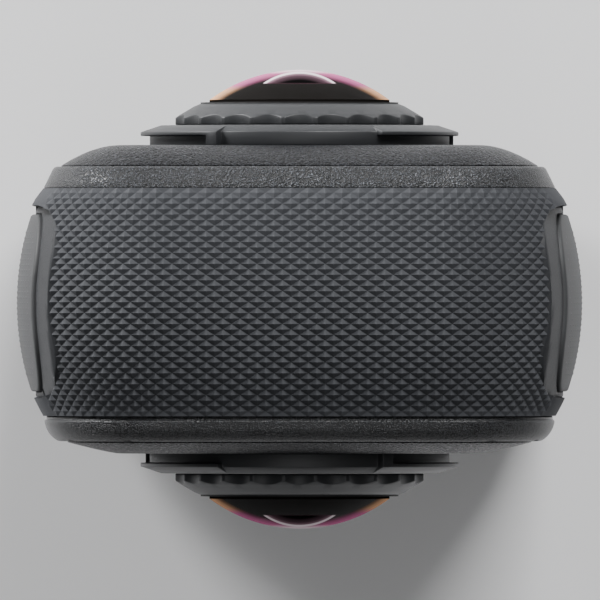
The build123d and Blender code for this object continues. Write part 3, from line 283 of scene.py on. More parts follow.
class Wire:
    """Output of a shader node. Arithmetic on it adds Math nodes."""

    def __init__(self, tree, socket=None):
        self.tree = tree
        self.socket = socket

    def add(self, kind, values=None, output=0, stops=None, **options):
        """New node: its own settings first, then the values or links of its sockets."""
        node = self.tree.nodes.new("ShaderNode" + kind)
        for name, value in options.items():
            setattr(node, name, value)
        if stops:
            elements = node.color_ramp.elements
            while len(elements) < len(stops):
                elements.new(1)
            for element, (place, tone) in zip(elements, stops):
                element.position = place
                element.color = (tone, tone, tone, 1) if isinstance(tone, float) else (*tone, 1)
        for name, value in (values or {}).items():
            if isinstance(value, Wire):
                self.tree.links.new(value.socket, node.inputs[name])
            else:
                node.inputs[name].default_value = value
        return Wire(self.tree, node.outputs[output]) if node.outputs else None

    def maths(self, operation, *values):
        return self.add("Math", dict(enumerate(values)), operation=operation)

    def __add__(self, other):
        return self.maths("ADD", self, other)

    def __sub__(self, other):
        return self.maths("SUBTRACT", self, other)

    def __rsub__(self, other):
        return self.maths("SUBTRACT", other, self)

    def __mul__(self, other):
        return self.maths("MULTIPLY", self, other)

    def __truediv__(self, other):
        return self.maths("DIVIDE", self, other)

    def __abs__(self):
        return self.maths("ABSOLUTE", self)

    __radd__ = __add__
    __rmul__ = __mul__

    def blend(self, low, high):
        """Colour between two colours, with this value as the share of the second."""
        inputs = {0: self, 6: as_colour(low), 7: as_colour(high)}
        return self.add("Mix", inputs, output=2, data_type="RGBA")

    def shades(self, tone, low, high):
        """Colour between two factors of a tone, with this value as the share of the second."""
        return self.blend(scaled(tone, low), scaled(tone, high))

    def between(self, low, high):
        """Number between two numbers, with this value as the share of the second."""
        return self * (high - low) + low

    def above(self, edge, width):
        """0 below an edge and 1 above it, over a width."""
        return self.add("MapRange", {0: self, 1: edge, 2: edge + width})


def as_colour(value):
    return value if isinstance(value, Wire) else (*value, 1)


class Finish:
    """Material that is built from its nodes, on the piece's Object coordinates."""

    def __init__(self, name):
        self.material = bpy.data.materials.new(name)
        self.material.use_nodes = True
        self.tree = self.material.node_tree
        self.tree.nodes.clear()
        self.start = Wire(self.tree)
        self.place = self.start.add("TexCoord", output=3)

    def along(self, axis):
        """X, Y or Z of the place, as one value."""
        return self.start.add("SeparateXYZ", {0: self.place}, output=axis)

    def zigzag(self, value, pitch):
        """Value that runs from 0 to 1 and back over one pitch."""
        return self.start.maths("PINGPONG", value * (1 / pitch), 0.5) * 2

    def noise(self, size, detail=2, roughness=0.5, stretch=(1, 1, 1)):
        """Soft noise with grains of one size, in millimetres, drawn out where the stretch is under 1."""
        place = self.start.add("Mapping", {0: self.place, 3: stretch})
        values = {"Vector": place, "Scale": 1 / (size * MM), "Detail": detail, "Roughness": roughness}
        return self.start.add("TexNoise", values)

    def cells(self, size, output=0, **options):
        """Cells of one size, in millimetres: the distance from their middles, or with 1 their colours."""
        values = {"Vector": self.place, "Scale": 1 / (size * MM)}
        return self.start.add("TexVoronoi", values, output=output, **options)

    def ramp(self, value, *stops):
        """Colours or greys at places along a value."""
        return self.start.add("ValToRGB", {0: value}, stops=stops)

    def attribute(self, name):
        """Value of an attribute that the piece's mesh carries."""
        return self.start.add("Attribute", output=2, attribute_name=name)

    def bump(self, height, depth):
        """Normal of a relief whose full height is one depth, in millimetres."""
        return self.start.add("Bump", {"Height": height, "Distance": depth * MM, "Strength": 1})

    def shade(self, base, rough, normal=None, metallic=0, **sockets):
        """Principled shader with these values or links. Socket names are written with underscores."""
        values = {"Base Color": as_colour(base), "Roughness": rough, "Metallic": metallic}
        if normal:
            values["Normal"] = normal
        for name, value in sockets.items():
            values[name.replace("_", " ").title().replace("Ior", "IOR")] = value
        return self.start.add("BsdfPrincipled", values)

    def mixed(self, factor, first, second):
        """Shader between two shaders."""
        return self.start.add("MixShader", {0: factor, 1: first, 2: second})

    def close(self, shader):
        """Links the shader to the output and gives the material."""
        self.start.add("OutputMaterial", {0: shader})
        return self.material

    def plain(self, *values, **sockets):
        """The material with one Principled shader."""
        return self.close(self.shade(*values, **sockets))


def scaled(tone, factor):
    """A colour times a factor."""
    return tuple(part * factor for part in tone)


# Finishes


def flat_part(finish, reach, fade, rest):
    """1 up to one reach from the middle, then falling to a rest round the shoulders."""
    return 1 - abs(finish.along("X")).above(reach, fade) * (1 - rest)


def moulded_plastic(name, tone, grain=0.16, depth=0.012, rough=(0.5, 0.62), shine=0.5):
    """Moulded plastic: a spark-eroded grain of one size and depth, faint cloudiness and a little dust."""
    finish = Finish(name)
    fine = finish.noise(grain, 3, 0.6)
    cloud = finish.noise(9, 3)
    dust = finish.noise(1.7, 5, 0.65).above(0.56, 0.2)
    base = cloud.shades(tone, 0.9, 1.1)
    base = (dust * 0.25).blend(base, scaled(tone, 1.5))
    roughness = fine.between(*rough) + dust * 0.06
    return finish.plain(base, roughness, finish.bump(fine, depth), specular_ior_level=shine)


def diamond_plastic(name, tone):
    """Moulded grip plastic: faintly cloudy, with rubbed peaks and dull valleys."""
    finish = Finish(name)
    peak = finish.attribute("peak")
    fine = finish.noise(0.14, 3, 0.6)
    cloud = finish.noise(7, 3)
    base = cloud.shades(tone, 0.88, 1.1)
    rubbed = peak.above(PLAIN_PEAK, 1 - PLAIN_PEAK)
    base = (rubbed * 0.35).blend(base, scaled(tone, 1.9))
    roughness = 0.7 - rubbed * 0.14 + fine * 0.08
    return finish.plain(base, roughness, finish.bump(fine, 0.01), specular_ior_level=0.3)


def sparkle_paint(name, tone, sizes, strength):
    """Coarse pearly paint: a rough grain with flakes of one strength in it, smooth round the shoulders."""
    finish = Finish(name)
    coarse = flat_part(finish, sizes.paint_flat, sizes.paint_fade, 0.12)
    grain = finish.noise(0.22, 3, 0.6).above(0.38, 0.24)
    flake = finish.noise(0.11, 1, 0.5).above(0.5, 0.12)
    # The strength sets how many bright flakes show: the bezels differ in it by how light falls on them, as
    # painted glints and shade
    bright = flake * coarse * strength
    base = (grain * coarse + (1 - coarse) * 0.5).shades(tone, 0.2, 1.6)
    base = (bright * 0.75).blend(base, scaled(tone, 19))
    height = (grain * 0.3 + flake * 0.7) * coarse * strength
    return finish.plain(base, 0.36 - bright * 0.1, finish.bump(height, 0.4), bright * 0.6)


def leather_grain(name, tone, sizes):
    """Face plate plastic with a fine pebbled grain and bright flecks, smoother round the shoulders."""
    finish = Finish(name)
    coarse = flat_part(finish, sizes.plate_flat, sizes.plate_fade, 0.3)
    pebble = finish.cells(0.26, feature="SMOOTH_F1")
    fine = finish.noise(0.17, 1, 0.5).above(0.48, 0.14)
    cloud = finish.noise(8, 3)
    bright = fine * coarse
    base = cloud.shades(tone, 0.4, 0.7)
    base = (bright * 0.6).blend(base, scaled(tone, 8))
    height = (pebble * 0.4 + fine * 0.6) * coarse
    normal = finish.bump(height, 0.3)
    return finish.plain(base, 0.38 - fine * 0.08, normal, bright * 0.6, specular_ior_level=0.18)


def pad_plastic(name, tone):
    """Pad plastic: faintly cloudy, with a fine grain and rubbed peaks."""
    finish = Finish(name)
    peak = finish.attribute("peak")
    fine = finish.noise(0.12, 3, 0.6)
    cloud = finish.noise(5, 3)
    base = cloud.shades(tone, 0.8, 0.95)
    base = (peak.above(0.5, 0.45) * 0.8).blend(base, scaled(tone, 1.9))
    roughness = 0.6 - peak * 0.16 + fine * 0.05
    return finish.plain(base, roughness, finish.bump(fine, 0.008))


def satin_coat(name, tone):
    """Satin coated metal: even, with the faintest turned lines."""
    finish = Finish(name)
    fine = finish.noise(0.1, 2)
    lines = finish.noise(0.25, 2, stretch=(0.05, 1, 0.05))
    cloud = finish.noise(6, 3)
    base = cloud.shades(tone, 0.93, 1.07)
    roughness = lines.between(0.38, 0.5) + fine * 0.05
    return finish.plain(base, roughness, finish.bump(fine, 0.004), 0.2)


def glass_with_painted_sheen(name, colours, sizes):
    """Dome glass: clear head on, painted dark at a slant, with a painted coloured reflection of its coating
    at the lowest angles.

    The painted reflection turns from apricot at the rim over pink to near white at the tip, where a painted
    pale arc, a painted highlight for the edge of the hollow seen through the glass, lies over a painted black
    pupil.
    """
    finish = Finish(name)
    depth = abs(finish.along("Y"))
    climb = depth.above(sizes.coat_start, sizes.coat_end - sizes.coat_start)
    # Painted coloured reflection of the coating, by depth from the rim to the tip
    painted_sheen_hue = finish.ramp(
        climb, (0.12, colours.coat_base), (0.38, colours.coat_base), (0.54, colours.coat_middle),
        (0.86, colours.coat_middle), (0.98, colours.coat_tip),
    )
    slant = finish.start.add("LayerWeight", {0: 0.5}, output=1)
    # Painted black pupil near the tip with a painted pale arc round it: painted dark and painted highlight
    # for the hollow's edge seen through the glass
    x, past_middle = finish.along("X"), depth - sizes.pupil_middle
    reach = finish.start.maths("SQRT", x * x + past_middle * past_middle) / sizes.pupil_radius
    pupil = (1 - reach.above(1, 0.005)) * depth.above(sizes.pupil_start, sizes.pupil_fade)
    # Greys of the painted arc: black inside, then dark brown and mauve, near white at its edge
    shades = (0.86, 0.003), (0.93, (0.06, 0.035, 0.045)), (0.966, (0.2, 0.12, 0.15))
    arc = finish.ramp(reach, *shades, (0.976, colours.coat_tip))
    # Painted sheen: bright at the silhouette and darker inwards, with the painted pupil and pale arc over it
    painted_sheen_hue = pupil.blend((slant.above(0.68, 0.2) * 0.85 + 0.15).blend((0.02, 0.01, 0.01), painted_sheen_hue), arc)
    smear = finish.noise(2.6, 4)
    # Shader of the painted coloured reflection
    painted_coat_sheen = finish.shade(painted_sheen_hue, smear.between(0.25, 0.4), specular_ior_level=0)
    glass = finish.shade(
        (1, 0.985, 0.98), smear.between(0.0, 0.02), ior=1.5, transmission_weight=1, specular_ior_level=0.12
    )
    # Painted dark at a slant: a near black layer standing in for the shade seen inside the glass
    painted_dark_tone = smear.blend((0.004, 0.0035, 0.003), (0.007, 0.006, 0.0055))
    dark = finish.shade(painted_dark_tone, 0.4, specular_ior_level=0)
    glass_and_painted_dark = finish.mixed(slant.above(0.26, 0.16) * 0.9, glass, dark)
    # Where the painted reflection shows: at the lowest angles, and over the painted pupil
    painted_sheen_mask = finish.start.maths("MAXIMUM", slant.above(0.68, 0.1), pupil * slant.above(0.5, 0.05))
    return finish.close(finish.mixed(painted_sheen_mask, glass_and_painted_dark, painted_coat_sheen))


def inner_glass(name):
    """Inner elements: clear glass with a dark violet tint."""
    finish = Finish(name)
    smear = finish.noise(1.5, 3)
    tone = smear.blend((0.05, 0.03, 0.08), (0.03, 0.04, 0.08))
    rough = smear.between(0.02, 0.06)
    return finish.plain(tone, rough, ior=1.5, transmission_weight=0.85, specular_ior_level=0.3)


def matte_black(name, tone=(0.008, 0.0078, 0.008), rough=0.8):
    """Light trap black: cloudy, without any shine."""
    finish = Finish(name)
    cloud = finish.noise(1.1, 3)
    base = cloud.shades(tone, 0.75, 1.25)
    return finish.plain(base, cloud.between(rough - 0.08, rough), specular_ior_level=0)


def rubber(name, tone=(0.018, 0.018, 0.02)):
    """Matte rubber with a fine moulded grain and a little dust."""
    finish = Finish(name)
    grain = finish.cells(0.22)
    dust = finish.noise(1.2, 5, 0.7).above(0.55, 0.25)
    base = (dust * 0.4).shades(tone, 1, 2.6)
    return finish.plain(base, 0.72 + dust * 0.1, finish.bump(grain, 0.02))


def polished_glass(name):
    """Dark cover glass with an oil-repellent shine and a few faint smears."""
    finish = Finish(name)
    smear = finish.noise(5, 5, 0.6, (1, 1, 0.5)).above(0.45, 0.4)
    base = smear.blend((0.006, 0.006, 0.008), (0.012, 0.012, 0.014))
    return finish.plain(base, smear.between(0.04, 0.16), coat_weight=1, coat_roughness=0.03)


def display_layers(name, pitch):
    """Dark display with a faint raster of picture elements."""
    finish = Finish(name)
    across, upright = (finish.zigzag(finish.along(axis), pitch) for axis in "XZ")
    raster = finish.start.maths("MINIMUM", across, upright)
    base = raster.blend((0.004, 0.004, 0.006), (0.02, 0.02, 0.028))
    return finish.plain(base, raster.between(0.35, 0.2))


def brushed_metal(name, tone, rough=(0.22, 0.4), stretch=(1, 0.06, 1), depth=0.004):
    """Metal with drawn lines and stains."""
    finish = Finish(name)
    lines = finish.noise(0.12, 3, 0.6, stretch)
    stain = finish.noise(2.4, 4)
    base = stain.shades(tone, 0.78, 1)
    return finish.plain(base, lines.between(*rough), finish.bump(lines, depth), 1)


def cast_alloy(name, tone):
    """Die cast alloy with its dull skin."""
    finish = Finish(name)
    skin = finish.noise(0.5, 5, 0.7)
    base = skin.shades(tone, 0.6, 1)
    return finish.plain(base, skin.between(0.4, 0.62), finish.bump(skin, 0.03), 0.9)


def circuit_board(name, tone):
    """Solder mask with tracks and bare pads."""
    finish = Finish(name)
    area = finish.start.add("RGBToBW", {0: finish.cells(1.3, 1, distance="MANHATTAN")})
    ridge = 1 - finish.cells(1.3, feature="DISTANCE_TO_EDGE").above(0.08, 0.03)
    pads = area.above(0.86, 0.02) * (1 - finish.cells(0.9).above(0.25, 0.04))
    base = ridge.shades(tone, 1, 1.9)
    base = pads.blend(base, (0.75, 0.6, 0.3))
    return finish.plain(base, pads.between(0.4, 0.25), finish.bump(ridge, 0.02), pads)


def sensor_window(name, pitch):
    """Image sensor behind its cover: dark violet, with a fine raster."""
    finish = Finish(name)
    raster = finish.zigzag(finish.along("X") + finish.along("Z"), pitch)
    base = raster.blend((0.02, 0.015, 0.04), (0.07, 0.05, 0.13))
    rough = 0.15 + raster * 0.1
    return finish.plain(base, rough, metallic=0.5, coat_weight=1, coat_roughness=0.02)


def cell_wrap(name, sizes):
    """Shrink wrap of the battery: satin black with soft creases and a paler end."""
    finish = Finish(name)
    crease = finish.noise(3, 4, 0.6, (1, 1, 0.25))
    end = finish.along("Z").above(sizes.wrap_end, sizes.wrap_fade)
    base = end.blend((0.025, 0.025, 0.028), (0.09, 0.09, 0.095))
    return finish.plain(base, crease.between(0.28, 0.5), finish.bump(crease, 0.08))


def ribbon_film(name, tone, pitch):
    """Amber film with copper tracks showing through."""
    finish = Finish(name)
    track = finish.zigzag(finish.along("X"), pitch).above(0.44, 0.12)
    base = track.shades(tone, 1, 0.45)
    return finish.plain(base, track.between(0.3, 0.42), finish.bump(track, 0.02))


def clear_guide(name):
    """Clear light guide, frosted inside."""
    finish = Finish(name)
    frost = finish.noise(0.2, 3)
    base = frost.blend((0.8, 0.82, 0.84), (0.95, 0.96, 0.97))
    return finish.plain(base, frost.between(0.12, 0.3), transmission_weight=0.6)


def plain_paper(name, tone):
    """Matte paper with the faintest fibres."""
    finish = Finish(name)
    base = finish.noise(0.8, 4).shades(tone, 0.985, 1)
    return finish.plain(base, 0.85)


# Pieces


def placed(name, data):
    """New object in the scene."""
    thing = bpy.data.objects.new(name, data)
    bpy.context.scene.collection.objects.link(thing)
    return thing


def finished(shape, name, material, body, sharp=HARD):
    """Makes a piece of a shape: on its body, with its material and slot, and smooth up to a sharp angle."""
    mesh = bpy.data.meshes.new(name)
    shape.to_mesh(mesh)
    shape.free()
    mesh.materials.append(material)
    mesh.shade_smooth()
    mesh.set_sharp_from_angle(angle=sharp)
    piece = placed(name, mesh)
    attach(piece, body)
    return piece


def softened(material, edge, *nodes):
    """Puts merged copies in the place of nodes, with their hard edges rounded over."""
    for node in nodes:
        solid = frame["nodes"][node]
        shape = bmesh.new()
        shape.from_mesh(solid.data)
        bmesh.ops.remove_doubles(shape, verts=shape.verts, dist=SAME_PLACE)
        soft = [item for item in shape.edges if item.calc_face_angle() <= HARD]
        bmesh.ops.dissolve_limit(shape, angle_limit=FLAT, verts=shape.verts, edges=soft)
        hard = [item for item in shape.edges if item.calc_face_angle() > HARD]
        bmesh.ops.bevel(
            shape, geom=hard, affect="EDGES", offset=edge, segments=2, profile=0.5, material=-1,
            clamp_overlap=False,
        )
        bmesh.ops.triangulate(shape, faces=shape.faces)
        piece = finished(shape, node + "_soft", material, body_of(solid)[0])
        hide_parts(node)


def dress(material, *nodes):
    """Gives carried-over nodes their material."""
    for node in nodes:
        mesh = frame["nodes"][node].data
        mesh.materials.clear()
        mesh.materials.append(material)


# Fields of diamonds, for the grip and the pads


def smooth(value):
    """A share, kept between 0 and 1, that starts and ends softly."""
    value = max(0, min(1, value))
    return value * value * (3 - 2 * value)


def quarter(middle_y, middle_z, radius, start, steps):
    """Corners of a quarter circle in y and z, from a start angle in degrees."""
    angles = [math.radians(start + 90 * step / steps) for step in range(steps + 1)]
    return [(middle_y + radius * math.cos(angle), middle_z + radius * math.sin(angle)) for angle in angles]


def cut_outline(shape, points, within, keep_inside):
    """Cuts a convex outline round a point, seen from the side, and keeps what lies inside or outside it."""
    walls = []
    flat = Vector((0, 1, 1))
    for (y0, z0), (y1, z1) in zip(points, points[1:]):
        along = Vector((0, y1 - y0, z1 - z0))
        out = Vector((1, 0, 0)).cross(along).normalized()
        middle = Vector((0, (y0 + y1) / 2, (z0 + z1) / 2))
        if out.dot(middle - within) < 0:
            out = -out
        walls.append((middle, out))
        reach = along.length / 2 + CUT_MARGIN
        faces = [face for face in shape.faces if (face.calc_center_median() * flat - middle).length < reach]
        edges = {edge for face in faces for edge in face.edges}
        corners = {corner for face in faces for corner in face.verts}
        near = [*faces, *edges, *corners]
        bmesh.ops.bisect_plane(shape, geom=near, dist=ON_PLANE, plane_co=middle, plane_no=out)
    unwanted = []
    for face in shape.faces:
        centre = face.calc_center_median()
        if all((centre - middle).dot(out) < 0 for middle, out in walls) != keep_inside:
            unwanted.append(face)
    bmesh.ops.delete(shape, geom=unwanted, context="FACES")


def diamond_grid(columns, rows, place):
    """Grid whose odd corners are valleys. It gives the shape and its peak attribute.

    A place function gives the point and the peak value of a corner, from its shares of the half width and
    half height and from whether it is a valley.
    """
    shape = bmesh.new()
    peak = shape.verts.layers.float.new("peak")
    bmesh.ops.create_grid(shape, x_segments=2 * columns, y_segments=2 * rows, size=1)
    valleys = []
    for vert in shape.verts:
        valley = (round((vert.co.x + 1) * columns) + round((vert.co.y + 1) * rows)) % 2 == 1
        if valley:
            valleys.append(vert)
        vert.co, vert[peak] = place(vert.co.x, vert.co.y, valley)
    bmesh.ops.connect_verts(shape, verts=valleys)
    return shape, peak


def lined(shape, inner_place, peak):
    """Closes an open skin: a copy of it, moved inwards, joined to it round the edge."""
    made = bmesh.ops.extrude_face_region(shape, geom=shape.faces[:], use_keep_orig=True)["geom"]
    for vert in [item for item in made if isinstance(item, bmesh.types.BMVert)]:
        vert.co = inner_place(vert.co)
        vert[peak] = 0
    bmesh.ops.recalc_face_normals(shape, faces=shape.faces)


# Grip: diamonds moulded over the crowned head


def crown_reach(grip, y, depth):
    """Distance of the crowned surface, or of a depth below it, from the corner's middle line."""
    inset = grip.crown - math.sqrt(grip.crown**2 - y**2)
    eased = max(0, 1 - (grip.rear - y) / grip.ease_depth)
    return grip.corner - inset - eased * grip.ease - depth


def on_crown(grip, run, y, depth):
    """Point of the band: run round it from the middle of the top, at one y and one depth below the crown."""
    core_x = grip.half_width - grip.corner
    core_z = grip.height - grip.corner
    reach = crown_reach(grip, y, depth)
    past = max(0, abs(run) - core_x)
    turn = min(past / grip.corner, math.pi / 2)
    drop = past - turn * grip.corner
    x = min(abs(run), core_x) + reach * math.sin(turn)
    return Vector((math.copysign(x, run), y, core_z + reach * math.cos(turn) - drop))


def below_crown(grip, point, depth):
    """The point moved to a depth below the crown, square to the band."""
    core_x = grip.half_width - grip.corner
    core = Vector((max(-core_x, min(core_x, point.x)), point.y, min(point.z, grip.height - grip.corner)))
    return core + (point - core).normalized() * crown_reach(grip, point.y, depth)


def relief(grip, run, y):
    """Share of the full valley depth at one place: it dies out at the seams and round the shoulders."""
    rear = smooth((grip.rear - y) / grip.rear_fade)
    front = smooth((y - grip.front) / grip.front_fade)
    side = smooth((grip.side_end - abs(run)) / (grip.side_end - grip.side_start))
    return rear * front * side


def cut_channels(shape, channel, low):
    """Cuts both side channels' outline out of the skin."""
    middle_z = channel.top - channel.corner
    rear = quarter(channel.rear - channel.corner, middle_z, channel.corner, 0, channel.steps)
    front = quarter(channel.front + channel.corner, middle_z, channel.corner, 90, channel.steps)
    points = [(channel.rear, low), *rear, *front, (channel.front, low)]
    cut_outline(shape, points, Vector((0, (channel.front + channel.rear) / 2, low)), False)


def grip_skin(grip, channel):
    """Closed skin of diamonds over the head."""
    half_run = grip.half_width - grip.corner + grip.corner * math.pi / 2
    half_run += grip.height - grip.corner - grip.low
    columns = 2 * round(half_run / grip.along)
    middle = (grip.front + grip.rear) / 2
    rows = math.ceil((grip.rear - grip.front) / grip.across)
    half_depth = rows * grip.across / 2

    def place(across, up, valley):
        run, y = across * half_run, middle + up * half_depth
        raised = relief(grip, run, y)
        if valley:
            return on_crown(grip, run, y, grip.valley * raised), PLAIN_PEAK * (1 - raised)
        return on_crown(grip, run, y, 0), PLAIN_PEAK + (1 - PLAIN_PEAK) * raised

    shape, peak = diamond_grid(columns, rows, place)
    tips = [vert for vert in shape.verts if vert[peak] > (1 + PLAIN_PEAK) / 2]
    bmesh.ops.bevel(
        shape, geom=tips, affect="VERTICES", offset=grip.tip, segments=1, profile=0.5, material=-1
    )
    for y, side in ((grip.front, -1), (grip.rear, 1)):
        everything = [*shape.verts, *shape.edges, *shape.faces]
        bmesh.ops.bisect_plane(
            shape, geom=everything, dist=ON_PLANE, plane_co=(0, y, 0), plane_no=(0, side, 0), clear_outer=True
        )
    cut_channels(shape, channel, grip.low - OVERRUN)
    lined(shape, lambda point: below_crown(grip, point, grip.thickness), peak)
    return shape


class CAM_OT_grip(bpy.types.Operator):
    """Adds the skin of moulded diamonds over the head"""

    bl_idname = "cam360.grip"
    bl_label = "Head Grip"

    def execute(self, context):
        scene = context.scene
        shape = grip_skin(scene.cam_grip, scene.cam_channel)
        material = diamond_plastic("grip_diamonds", scene.cam_colours.graphite)
        piece = finished(shape, "head_grip_skin", material, "body", GRIP_SHARP)
        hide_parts("head_grip")
        return {"FINISHED"}


# Shell


class CAM_OT_shell(bpy.types.Operator):
    """Dresses the middle frame, the bezels and the face plates"""

    bl_idname = "cam360.shell"
    bl_label = "Shell"

    def execute(self, context):
        scene = context.scene
        colours, sizes, edge = scene.cam_colours, scene.cam_finish, scene.cam_edge
        # Half the grip's graphite tone: painted shade for the channels beside the pads, in the same plastic
        # as the grip
        frame_plastic_painted_shade = moulded_plastic("graphite_plastic", scaled(colours.graphite, 0.5), shine=0.25)
        softened(frame_plastic_painted_shade, edge.frame, "middle_frame")
        # Same paint on both bezels: the rear's stronger flakes are painted glints where light falls, the
        # front's weaker ones painted shade
        for side, strength in (("rear", 0.75), ("front", 0.15)):
            paint = sparkle_paint(side + "_sparkle", colours.bezel, sizes, strength)
            softened(paint, edge.bezel, side + "_bezel")
        plate = leather_grain("face_grain", colours.face, sizes)
        softened(plate, edge.plate, "front_face_plate", "rear_face_plate")
        return {"FINISHED"}


# Side pads: fine diamonds raised on the domed faces


def on_pad(pad, y, z, depth):
    """Point of the pad's domed face, or of a depth below it."""
    section = pad.crown_x - pad.crown + math.sqrt(pad.crown**2 - (y - pad.middle_y) ** 2)
    reach = section - pad.crown_x + pad.rise - depth
    across = z - pad.middle_z
    return Vector((pad.crown_x - pad.rise + math.sqrt(reach**2 - across**2), y, z))


def rim_distance(pad, y, z):
    """Distance from the field's outline, inwards."""
    past_y = abs(y - pad.middle_y) - pad.half_depth + pad.corner
    past_z = abs(z - pad.middle_z) - pad.half_height + pad.corner
    return pad.corner - math.hypot(max(0, past_y), max(0, past_z)) - min(0, max(past_y, past_z))


def pad_field(pad):
    """Thin closed skin of diamonds for the pad on the right."""
    columns = 2 * math.ceil(pad.half_depth / pad.along) + 2
    rows = 2 * math.ceil(pad.half_height / pad.across) + 2

    def place(across, up, valley):
        y = pad.middle_y + across * columns * pad.along / 2
        z = pad.middle_z + up * rows * pad.across / 2
        share = smooth(rim_distance(pad, y, z) / pad.fade)
        height = (pad.raised - pad.valley if valley else pad.raised) * share
        return on_pad(pad, y, z, pad.sunk - height), 0 if valley else share

    shape, peak = diamond_grid(columns, rows, place)
    corners = []
    for index, (side_y, side_z) in enumerate(((1, 1), (-1, 1), (-1, -1), (1, -1))):
        middle_y = pad.middle_y + side_y * (pad.half_depth - pad.corner)
        middle_z = pad.middle_z + side_z * (pad.half_height - pad.corner)
        corners += quarter(middle_y, middle_z, pad.corner, 90 * index, pad.steps)
    cut_outline(shape, [*corners, corners[0]], Vector((0, pad.middle_y, pad.middle_z)), True)
    lined(shape, lambda point: on_pad(pad, point.y, point.z, pad.thickness), peak)
    return shape


class CAM_OT_pads(bpy.types.Operator):
    """Dresses the side pads over the microphones and adds their fine diamonds"""

    bl_idname = "cam360.pads"
    bl_label = "Side Pads"

    def execute(self, context):
        scene = context.scene
        material = pad_plastic("pad_diamonds", scene.cam_colours.pad)
        softened(material, scene.cam_edge.pad, "left_mic_pad", "right_mic_pad")
        for side in ("left", "right"):
            shape = pad_field(scene.cam_pad)
            if side == "left":
                mirror = Matrix.Scale(-1, 4, (1, 0, 0))
                bmesh.ops.transform(shape, matrix=mirror, verts=shape.verts)
                bmesh.ops.recalc_face_normals(shape, faces=shape.faces)
            finished(shape, side + "_pad_diamonds", material, "body", PAD_SHARP)
        return {"FINISHED"}


# Lenses: each element turned from its section


class Section:
    """Section of a turned piece: drawn in radius and depth, point by point, then spun about the lens axis."""

    def __init__(self, lens, radius, depth):
        self.lens = lens
        self.shape = bmesh.new()
        self.last = self.shape.verts.new((radius, depth, lens.axis))

    def line(self, radius, depth):
        """Straight edge to a point."""
        point = self.shape.verts.new((radius, depth, self.lens.axis))
        self.shape.edges.new((self.last, point))
        self.last = point

    def arc(self, radius, depth, centre):
        """Arc to a point, about a centre on the axis."""
        start = math.atan2(self.last.co.y - centre, self.last.co.x)
        stop = math.atan2(depth - centre, radius)
        made = bmesh.ops.spin(
            self.shape, geom=[self.last], cent=(0, centre, self.lens.axis), axis=(0, 0, 1),
            angle=stop - start, steps=self.lens.steps,
        )
        self.last = made["geom_last"][0]

    def turned(self, side):
        """The closed piece, for the rear lens or turned round for the front one."""
        whole = self.shape.verts[:] + self.shape.edges[:]
        centre = (0, 0, self.lens.axis)
        bmesh.ops.spin(
            self.shape, geom=whole, cent=centre, axis=(0, 1, 0), angle=math.tau, steps=self.lens.turns,
            use_merge=True,
        )
        bmesh.ops.remove_doubles(self.shape, verts=self.shape.verts, dist=SAME_PLACE)
        bmesh.ops.recalc_face_normals(self.shape, faces=self.shape.faces)
        if side == "front":
            half_turn = Matrix.Rotation(math.pi, 3, "Z")
            bmesh.ops.rotate(self.shape, verts=self.shape.verts, cent=(0, 0, 0), matrix=half_turn)
        return self.shape


def sphere_depth(centre, radius, reach):
    """Depth of a sphere about a centre on the axis, at one reach from the axis."""
    return centre + math.sqrt(radius**2 - reach**2)


def dome_section(lens):
    """Dome with a hollow behind its middle."""
    centre = lens.tip - lens.radius
    hollow_tip = lens.tip - lens.thickness
    rise = hollow_tip - lens.hollow_seat
    section = Section(lens, 0, lens.tip)
    section.arc(lens.rim, sphere_depth(centre, lens.radius, lens.rim), centre)
    section.line(lens.rim, lens.seat)
    section.line(lens.hollow_rim, lens.hollow_seat)
    section.arc(0, hollow_tip, hollow_tip - (lens.hollow_rim**2 + rise**2) / (2 * rise))
    return section


def second_section(lens):
    """Second element, with a flat rim round its hollow back."""
    centre = lens.second_tip - lens.second_curve
    rise = lens.second_back - lens.mouth
    back_radius = (lens.bore**2 + rise**2) / (2 * rise)
    section = Section(lens, 0, lens.second_tip)
    section.arc(lens.second_rim, sphere_depth(centre, lens.second_curve, lens.second_rim), centre)
    section.line(lens.second_rim, lens.mouth)
    section.line(lens.bore, lens.mouth)
    section.arc(0, lens.second_back, lens.second_back - back_radius)
    return section


def inner_section(lens, low, high):
    """Element that bulges on both faces, with its edge between two depths."""
    curve = (lens.bore**2 + lens.bulge**2) / (2 * lens.bulge)
    section = Section(lens, 0, high + lens.bulge)
    section.arc(lens.bore, high, high + lens.bulge - curve)
    section.line(lens.bore, low)
    section.arc(0, low - lens.bulge, low - lens.bulge + curve)
    return section


def dome_glass(lens, side, coating, edge_paint):
    """The dome of one side, with paint on its rim and on its back round the hollow."""
    shape = dome_section(lens).turned(side)
    # The coating material carries the painted coloured reflection, the painted dark and the painted pupil
    glass = finished(shape, side + "_dome_glass", coating, side + "_lens")
    glass.data.materials.append(edge_paint)
    for face in glass.data.polygons:
        reach = math.hypot(face.center.x, face.center.z - lens.axis)
        back = face.normal.y * face.center.y < 0 and reach > EDGE_SHARE * lens.hollow_rim
        face.material_index = int(back or reach > EDGE_SHARE * lens.rim)
    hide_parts(side + "_dome_lens")


def element_stack(lens, side, coating):
    """The three elements behind the dome of one side, as one piece."""
    inner = bmesh.new()
    third = inner_section(lens, lens.third_low, lens.third_high)
    fourth = inner_section(lens, lens.fourth_low, lens.fourth_high)
    for section in (second_section(lens), third, fourth):
        part = bpy.data.meshes.new("element")
        section.turned(side).to_mesh(part)
        inner.from_mesh(part)
        bpy.data.meshes.remove(part)
    stack = finished(inner, side + "_element_stack", coating, "body")
    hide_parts(side + "_inner_elements")


